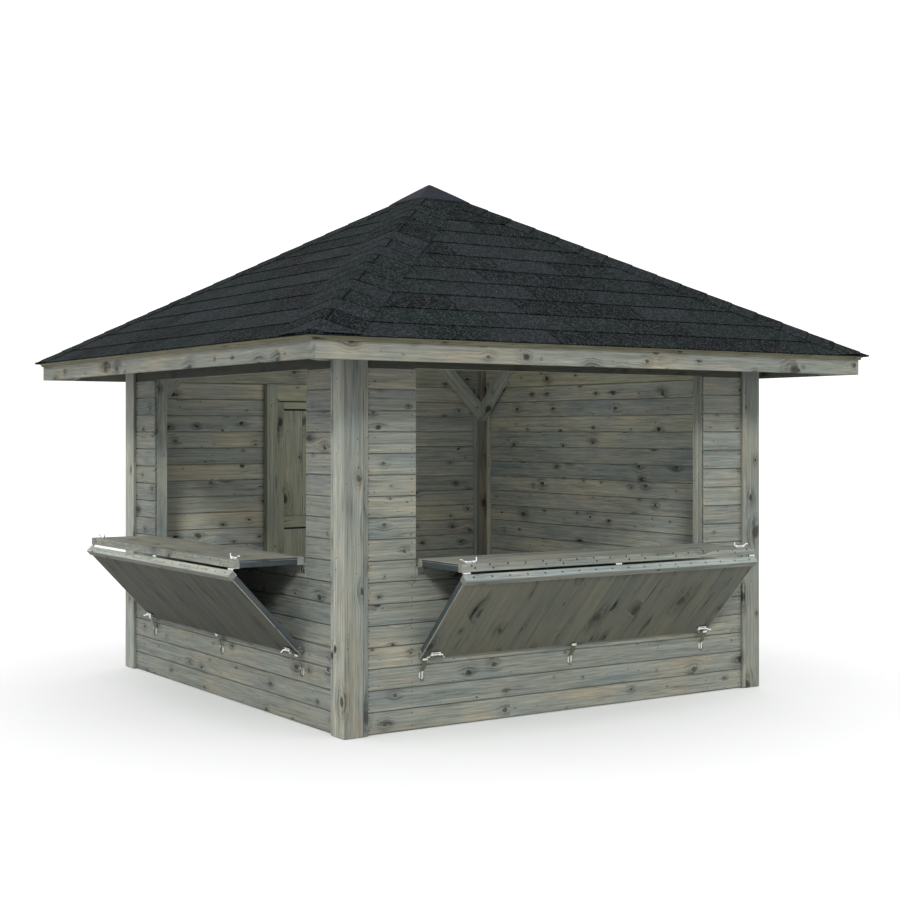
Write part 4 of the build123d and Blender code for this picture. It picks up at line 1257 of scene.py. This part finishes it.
@dataclass
class Roof:
    """The hip roof: boards, courses of shingles, overlapping hip covers and the fascia boards."""

    finishes: Finishes
    board_half: float = 2.087
    board_width: float = 0.118
    board_depth: float = 0.019
    skin: float = 0.010
    tab_width: float = 0.466
    exposure: float = 0.208
    first_course: float = 0.178
    top_gap: float = 0.020
    butt: float = 0.0052
    tab_lift: float = 0.0007
    tab_wave: float = 0.0006
    slot: float = 0.006
    # climb given to sheets in the slots, so that they are painted dark as shade
    slot_climb: float = -0.010
    cover_pitch: float = 0.1665
    cover_first: float = 2.9145
    cover_last: float = 0.26
    cover_lap: float = 0.020
    cover_lift: float = 0.0068
    cover_head_lift: float = 0.0028
    cover_flattening: float = 0.62
    cover_bed: float = 0.002
    last_cover_climb: float = 0.0050
    ridge_round: float = 0.012
    wide_cover: float = 0.225
    narrow_cover: float = 0.172
    slot_place: float = 0.028
    slot_width: float = 0.009
    cap_half: float = 0.2045
    cap_top: float = 3.4346
    cap_round: float = 0.006
    cap_rim: float = 0.0062
    cap_droop: float = 0.0045
    fascia_half: float = 2.055
    fascia_depth: float = 0.025
    fascia_low: float = 2.0831
    fascia_high: float = 2.204
    trim: tuple[float, float] = (2.1810, 2.1975)
    trim_depth: float = 0.011

    @property
    def slope_length(self) -> float:
        """Distance up a slope from the eave to the top."""
        return HUT.eave_half / math.cos(HUT.pitch)

    def on_slope(self, side: Side, run: np.ndarray, up: np.ndarray, deep: np.ndarray) -> np.ndarray:
        """World points of a slope: going up it moves in by the pitch's cosine and rises by its sine.

        Args:
            side: the slope.
            run: distance along the eave.
            up: distance up the slope from the eave.
            deep: distance below the shingle faces, square to the slope.

        Returns:
            The points.
        """
        cos, sin = math.cos(HUT.pitch), math.sin(HUT.pitch)
        out = HUT.eave_half - up * cos - deep * sin
        return side.world(run, out, HUT.eave_top + up * sin - deep * cos)

    def shingles(self) -> None:
        """Builds each slope's shingles: courses of tabs, each course's joints half a tab from the next one's.

        A tab is a flat sheet whose lower edge stands a butt's thickness above the course below and whose
        upper end lies in the plane of the next butt. Its ends are kept inside the hips, where the half-width
        of the slope is the eave's half-width less the plan distance climbed. Chance moves its lower edge up
        or down a little.
        """
        starts = np.arange(self.first_course, self.slope_length - 0.06, self.exposure)
        ends = np.append(starts, self.slope_length - self.top_gap)
        starts = np.append(0.0, starts)
        reach = int(HUT.eave_half / self.tab_width) + 2
        shift = np.arange(len(starts)) % 2 * 0.5
        left = (np.arange(-reach, reach) + shift[:, None]) * self.tab_width
        right = left + self.tab_width - self.slot
        low, high = (np.broadcast_to(line[:, None], left.shape) for line in (starts, ends))
        low_half, high_half = (HUT.eave_half - line * math.cos(HUT.pitch) for line in (low, high))
        keep = (left < low_half - 0.02) & (right > -low_half + 0.02)
        parts = (left, right, low, high, low_half, high_half)
        left, right, low, high, low_half, high_half = (part[keep][:, None, None] for part in parts)
        step, fraction = np.linspace(0, 1, 3)[:, None], np.linspace(0, 1, 5)
        run_left, run_right = (
            np.clip(end, -low_half, low_half) * (1 - step) + np.clip(end, -high_half, high_half) * step
            for end in (left, right)
        )
        run = run_left * (1 - fraction) + run_right * fraction
        up = low + (high - low) * step + np.zeros_like(run)
        seeds = np.arange(len(left)) * 0.731
        rng = np.random.default_rng(7)
        for side in Side:
            wave = rng.uniform(-self.tab_wave, self.tab_wave, run.shape)
            deep = self.butt * step + self.tab_lift + wave * (1 - step)
            stack = MeshStack()
            top = self.on_slope(side, run, up, deep)
            under = self.on_slope(side, run, up, self.butt + 2 * HAIR)
            stack.sheets(top, under, np.stack([run + side.value, up, deep], axis=-1), seeds + side.value)
            self.underlay(stack, side)
            name = side.label
            stack.build(f"shingle_tabs_{name}", self.finishes.shingle, "shingle", (f"roof_shingles_{name}",))

    def underlay(self, stack: MeshStack, side: Side) -> None:
        """Adds the sheet under the tabs: a triangle from the eave to just below the top, closed all round."""
        up = np.array([0.0, self.slope_length - self.top_gap])[None, :, None] + np.zeros((1, 2, 2))
        ends = np.array([-1.0, 1.0])
        half = HUT.eave_half - up * math.cos(HUT.pitch)
        top, under = (
            self.on_slope(side, ends * (half - deep * math.sin(HUT.pitch)), up, deep)
            for deep in (self.butt + HAIR, self.skin)
        )
        # the slot climb paints the underlay dark, as shade in the slots between the tabs
        grain = np.stack([ends * half, up, np.full_like(up, self.slot_climb)], axis=-1)
        stack.sheets(top, under, grain, np.array([0.5]))

    def on_hip(self, corner: int, along: np.ndarray, away: np.ndarray, lift: np.ndarray) -> np.ndarray:
        """World points near a hip, with the ridge slightly rounded.

        The distance from the middle of the nearer eave's side is the sum of the distance along the diagonal
        and the rounded distance away from it, over root two; the height falls with it by the pitch.

        Args:
            corner: 0 for the front left corner, and on anticlockwise as seen from above.
            along: plan distance from the middle along the diagonal.
            away: plan distance square to the diagonal, positive to the right as seen from outside.
            lift: height above the shingle faces, square to the slopes.

        Returns:
            The points.
        """
        turn = math.radians(225 + 90 * corner)
        spread = np.sqrt(away**2 + self.ridge_round**2)
        distance = (along + spread) / math.sqrt(2)
        rise = (HUT.eave_half - distance) * math.tan(HUT.pitch) + lift / math.cos(HUT.pitch)
        x = along * math.cos(turn) - away * math.sin(turn)
        y = along * math.sin(turn) + away * math.cos(turn)
        return np.stack([x, y, HUT.eave_top + rise], axis=-1)

    def hip_covers(self) -> None:
        """Builds the strips that lap over each other up every hip, some of the front left ones slotted."""
        butts = np.arange(self.cover_first + self.cover_pitch, self.cover_last, -self.cover_pitch)
        stack = MeshStack()
        for corner in range(4):
            wide = self.wide_cover if corner == 0 else self.narrow_cover
            for number, butt in enumerate(butts):
                spans = [(-wide, wide)]
                if corner == 0 and number % 2 == 0 and number > 1:
                    spans = [(-wide, self.slot_place), (self.slot_place + self.slot_width, wide)]
                    self.slot_filling(stack, corner, butt)
                highest = self.last_cover_climb if number == len(butts) - 1 else math.inf
                for span in spans:
                    self.cover(stack, corner, span, butt, highest, 300 + corner * 41 + number * 0.77)
        stack.build("hip_cover_strips", self.finishes.shingle, "shingle", ("hip_caps",))

    def cover(
        self, stack: MeshStack, corner: int, span: Span, butt: float, highest: float, seed: float
    ) -> None:
        """Adds one strip, or a part of one beside its slot, folded over the ridge.

        Its edges are square to the hip on the slopes, so in plan they run back towards the middle by the
        square of the pitch's tangent over that plus two, times the distance away. The lowest strips are cut
        off at the eave, where the distances along and away add up to the eave's diagonal.

        Args:
            stack: where the strip goes.
            corner: the hip, as for on_hip.
            span: its low and high distance away from the ridge.
            butt: plan distance of its lower edge from the middle.
            highest: limit of the climb that the finish reads; it keeps the painted shade line off the last
                strip's head.
            seed: its seed.
        """
        tangent = math.tan(HUT.pitch) ** 2
        slant = tangent / (2 + tangent)
        wide = max(-span[0], span[1])
        away = np.linspace(*span, 15)[None, None, :]
        step = np.array([0.0, 0.5, 1.0])[None, :, None]
        head = max(butt - self.cover_pitch - self.cover_lap, 0.1)
        along = butt * (1 - step) + head * step - slant * np.abs(away)
        along = np.minimum(along, HUT.eave_half * math.sqrt(2) - 0.0005 - np.abs(away))
        away = away + np.zeros_like(along)
        lift = self.cover_lift * (1 - step) + self.cover_head_lift * step
        lift = lift * (1 - self.cover_flattening * (away / wide) ** 2)
        top, under = (self.on_hip(corner, along, away, height) for height in (lift, -self.cover_bed))
        climb = self.tab_lift + self.butt * step * (butt - head) / self.cover_pitch + np.zeros_like(along)
        grain = np.stack([away + corner * 3, along, np.minimum(climb, highest)], axis=-1)
        stack.sheets(top[:, :, ::-1], under[:, :, ::-1], grain[:, :, ::-1], np.array([seed]))

    def slot_filling(self, stack: MeshStack, corner: int, butt: float) -> None:
        """Adds a narrow sheet just above the cover below, at the bottom of a cover's slot, painted dark as
        shade.
        """
        away = np.array([0.0, self.slot_width])[None, None, :] + self.slot_place + np.zeros((1, 2, 2))
        along = np.array([butt - 0.004, butt - self.cover_pitch])[None, :, None] + np.zeros_like(away)
        top, under = (self.on_hip(corner, along, away, lift) for lift in (0.0042, 0.0))
        grain = np.stack([away, along, np.full_like(away, self.slot_climb)], axis=-1)
        stack.sheets(top[:, :, ::-1], under[:, :, ::-1], grain[:, :, ::-1], np.array([0.5]))

    def cap(self) -> None:
        """Builds the cap: a low pyramid with slightly rounded hips and tip, lying on the top of the roof.

        Its height falls evenly with the greater of the distances in x and y, taken as half of their sum and
        of their difference's length, each length rounded off by a small radius under the root. The corners
        droop on to the hips by the third power of x times y.
        """
        x, y = np.meshgrid(*[np.linspace(-self.cap_half, self.cap_half, 41)] * 2)
        soft = self.cap_round
        round_x, round_y = (np.sqrt(part**2 + soft**2) - soft for part in (x, y))
        far = (round_x + round_y + np.sqrt((round_x - round_y) ** 2 + soft**2)) / 2
        far = np.clip(far, 0.0, self.cap_half)
        slope = HUT.eave_top + (HUT.eave_half - np.maximum(np.abs(x), np.abs(y))) * math.tan(HUT.pitch)
        rim = HUT.eave_top + (HUT.eave_half - self.cap_half) * math.tan(HUT.pitch) + self.cap_rim
        droop = self.cap_droop * (np.abs(x * y) / self.cap_half**2) ** 3
        height = self.cap_top - (self.cap_top - rim) * far / self.cap_half - droop
        top, under = (np.stack([x, y, z], axis=-1)[None] for z in (height, slope - self.cover_bed))
        stack = MeshStack()
        stack.sheets(top, under, top, np.array([0.4]))
        stack.build("roof_top_cap", self.finishes.cap, "roof_cap", ("roof_cap",))

    def boards(self) -> None:
        """Builds the roof boards, which run along each slope and are mitred at the hips."""
        cos, sin = math.cos(HUT.pitch), math.sin(HUT.pitch)
        length = self.board_half / cos
        edges = np.append(np.arange(0.0, length - 0.03, self.board_width), length - 0.012)
        across = (edges[:-1] + HAIR / 2, edges[1:] - HAIR / 2)
        depth = (self.skin, self.skin + self.board_depth)
        for side in Side:
            origin = self.on_slope(side, 0.0, (HUT.eave_half - self.board_half) / cos, 0.0)
            axes = Axes(origin, side.run, UP * sin - side.out * cos, -(UP * cos + side.out * sin))
            seeds = 60 + side.value * 0.1 + 0.37 * np.arange(len(edges) - 1)
            along, lean = (-self.board_half, self.board_half), (cos, sin, -cos, -sin)
            stack = MeshStack()
            stack.planks(axes, along, across, depth, seeds, 0.002, lean)
            name = side.label
            stack.build(f"roof_boarding_{name}", self.finishes.olive, "roof_board", (f"roof_boards_{name}",))

    def fascias(self) -> None:
        """Builds the fascia boards and the strips along their tops; at left and right they cover the ends."""
        inner = self.fascia_half - self.fascia_depth
        height, depth = (self.fascia_low, self.fascia_high), (inner, self.fascia_half)
        trim_depth, trims = (self.fascia_half, self.fascia_half + self.trim_depth), MeshStack()
        for name, sides, half, trim_half in (
            ("left_right", (Side.LEFT, Side.RIGHT), self.fascia_half, self.fascia_half + self.trim_depth),
            ("front_back", (Side.FRONT, Side.BACK), inner, self.fascia_half),
        ):
            stack = MeshStack()
            for side in sides:
                own = side.value * 0.017
                stack.planks(side.level(), (-half, half), height, depth, 80 + own, 0.0025)
                trims.planks(side.level(), (-trim_half, trim_half), self.trim, trim_depth, 90 + own, 0.0015)
            stack.build(f"fascia_timbers_{name}", self.finishes.fascia, "fascia_board", (f"fascia_{name}",))
        trims.build("eave_trim_strips", self.finishes.olive, "roof_board")

    def build(self) -> None:
        """Builds the whole roof."""
        self.boards()
        self.fascias()
        self.shingles()
        self.hip_covers()
        self.cap()


@dataclass
class CarriedParts:
    """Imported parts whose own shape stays: they only get a finish."""

    finishes: Finishes
    nodes: dict[str, bpy.types.Object]

    def dress(self) -> None:
        """Gives each carried part its finish, by what its name says it is."""
        finishes = self.finishes
        for name, piece in self.nodes.items():
            if name in ("hip_rafters", "jack_rafters", "king_block"):
                material = finishes.rafter
            # the hasp straps take the zinc with painted shade and reflection
            elif name == "hasp_straps":
                material = finishes.dull
            elif any(word in name for word in ("fittings", "hinge", "hasp")):
                material = finishes.zinc
            else:
                material = finishes.post
            piece.data.materials.clear()
            piece.data.materials.append(material)
            if not piece.hide_render:
                LOG.info("%s: carried over with %s", name, material.name)


@dataclass
class Studio:
    """The camera at the photograph's viewing angle, a pale floor and soft light."""

    camera_place: tuple[float, float, float] = (-5.7864, -8.9169, 1.7096)
    yaw: float = math.radians(33.811)
    lens: float = 60.797
    sensor: float = 36.0
    shift: tuple[float, float] = (-0.0015, -0.0208)
    farthest: float = 300.0
    sun_direction: tuple[float, float, float] = (-0.98, -1.40, 0.95)
    sun_strength: float = 2.35
    sun_angle: float = math.radians(11.0)
    sun_colour: Colour = (0.97, 1.0, 0.99)
    sky: Colour = (1.0, 1.0, 1.0)
    sky_strength: float = 1.18
    fill_place: tuple[float, float, float] = (0.0, 0.0, 1.85)
    fill_power: float = 19.0
    fill_radius: float = 0.55
    floor_half: float = 60.0
    floor_shades: tuple[Colour, Colour] = ((0.745, 0.745, 0.745), (0.765, 0.765, 0.765))

    def camera(self) -> None:
        """Places the camera."""
        data = bpy.data.cameras.new("camera")
        data.lens = self.lens
        data.sensor_width = self.sensor
        data.shift_x, data.shift_y = self.shift
        data.clip_end = self.farthest
        camera = add_object("camera", data)
        camera.location = self.camera_place
        camera.rotation_euler = (math.radians(90), 0.0, -self.yaw)
        bpy.context.scene.camera = camera

    def light(self) -> None:
        """Places a broad key light from the front left, a soft fill in the hut and an even pale surround."""
        data = bpy.data.lights.new("key", "SUN")
        data.energy = self.sun_strength
        data.angle = self.sun_angle
        data.color = self.sun_colour
        x, y, z = np.array(self.sun_direction) / np.linalg.norm(self.sun_direction)
        add_object("key", data).rotation_euler = (math.acos(z), 0.0, math.atan2(y, x) + math.pi / 2)
        data = bpy.data.lights.new("fill", "POINT")
        data.energy = self.fill_power
        data.shadow_soft_size = self.fill_radius
        fill = add_object("fill", data)
        fill.location = self.fill_place
        fill.visible_camera = False
        world = bpy.data.worlds.new("surround")
        world.use_nodes = True
        background = world.node_tree.nodes["Background"]
        background.inputs[0].default_value = (*self.sky, 1.0)
        background.inputs[1].default_value = self.sky_strength
        bpy.context.scene.world = world
        bpy.context.scene.view_settings.view_transform = "Standard"

    def floor(self) -> None:
        """Lays the floor."""
        half = self.floor_half
        mesh = bpy.data.meshes.new("floor")
        edge = [(-half, -half, 0.0), (half, -half, 0.0), (half, half, 0.0), (-half, half, 0.0)]
        mesh.from_pydata(edge, [], [(0, 1, 2, 3)])
        sheet = Sheet("pale_floor")
        colour = sheet.blend(sheet.noise(sheet.place(), 0.8, 3.0), *self.floor_shades)
        mesh.materials.append(sheet.finish(colour, 0.9, gloss=0.1))
        add_object("floor", mesh)

    def build(self) -> None:
        """Sets up the whole studio."""
        self.camera()
        self.light()
        self.floor()


def main() -> None:
    """Builds the studio and every sub-assembly in order."""
    logging.basicConfig(level=logging.INFO, format="%(name)s %(message)s")
    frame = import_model()
    Studio().build()
    finishes = Finishes()
    Walls(finishes).build()
    Carcass(finishes).build()
    for side in (Side.FRONT, Side.LEFT):
        Hatch(finishes, side).build()
    Door(finishes).build()
    Roof(finishes).build()
    CarriedParts(finishes, frame["nodes"]).dress()
    bpy.context.view_layer.update()


if __name__ == "__main__":
    main()
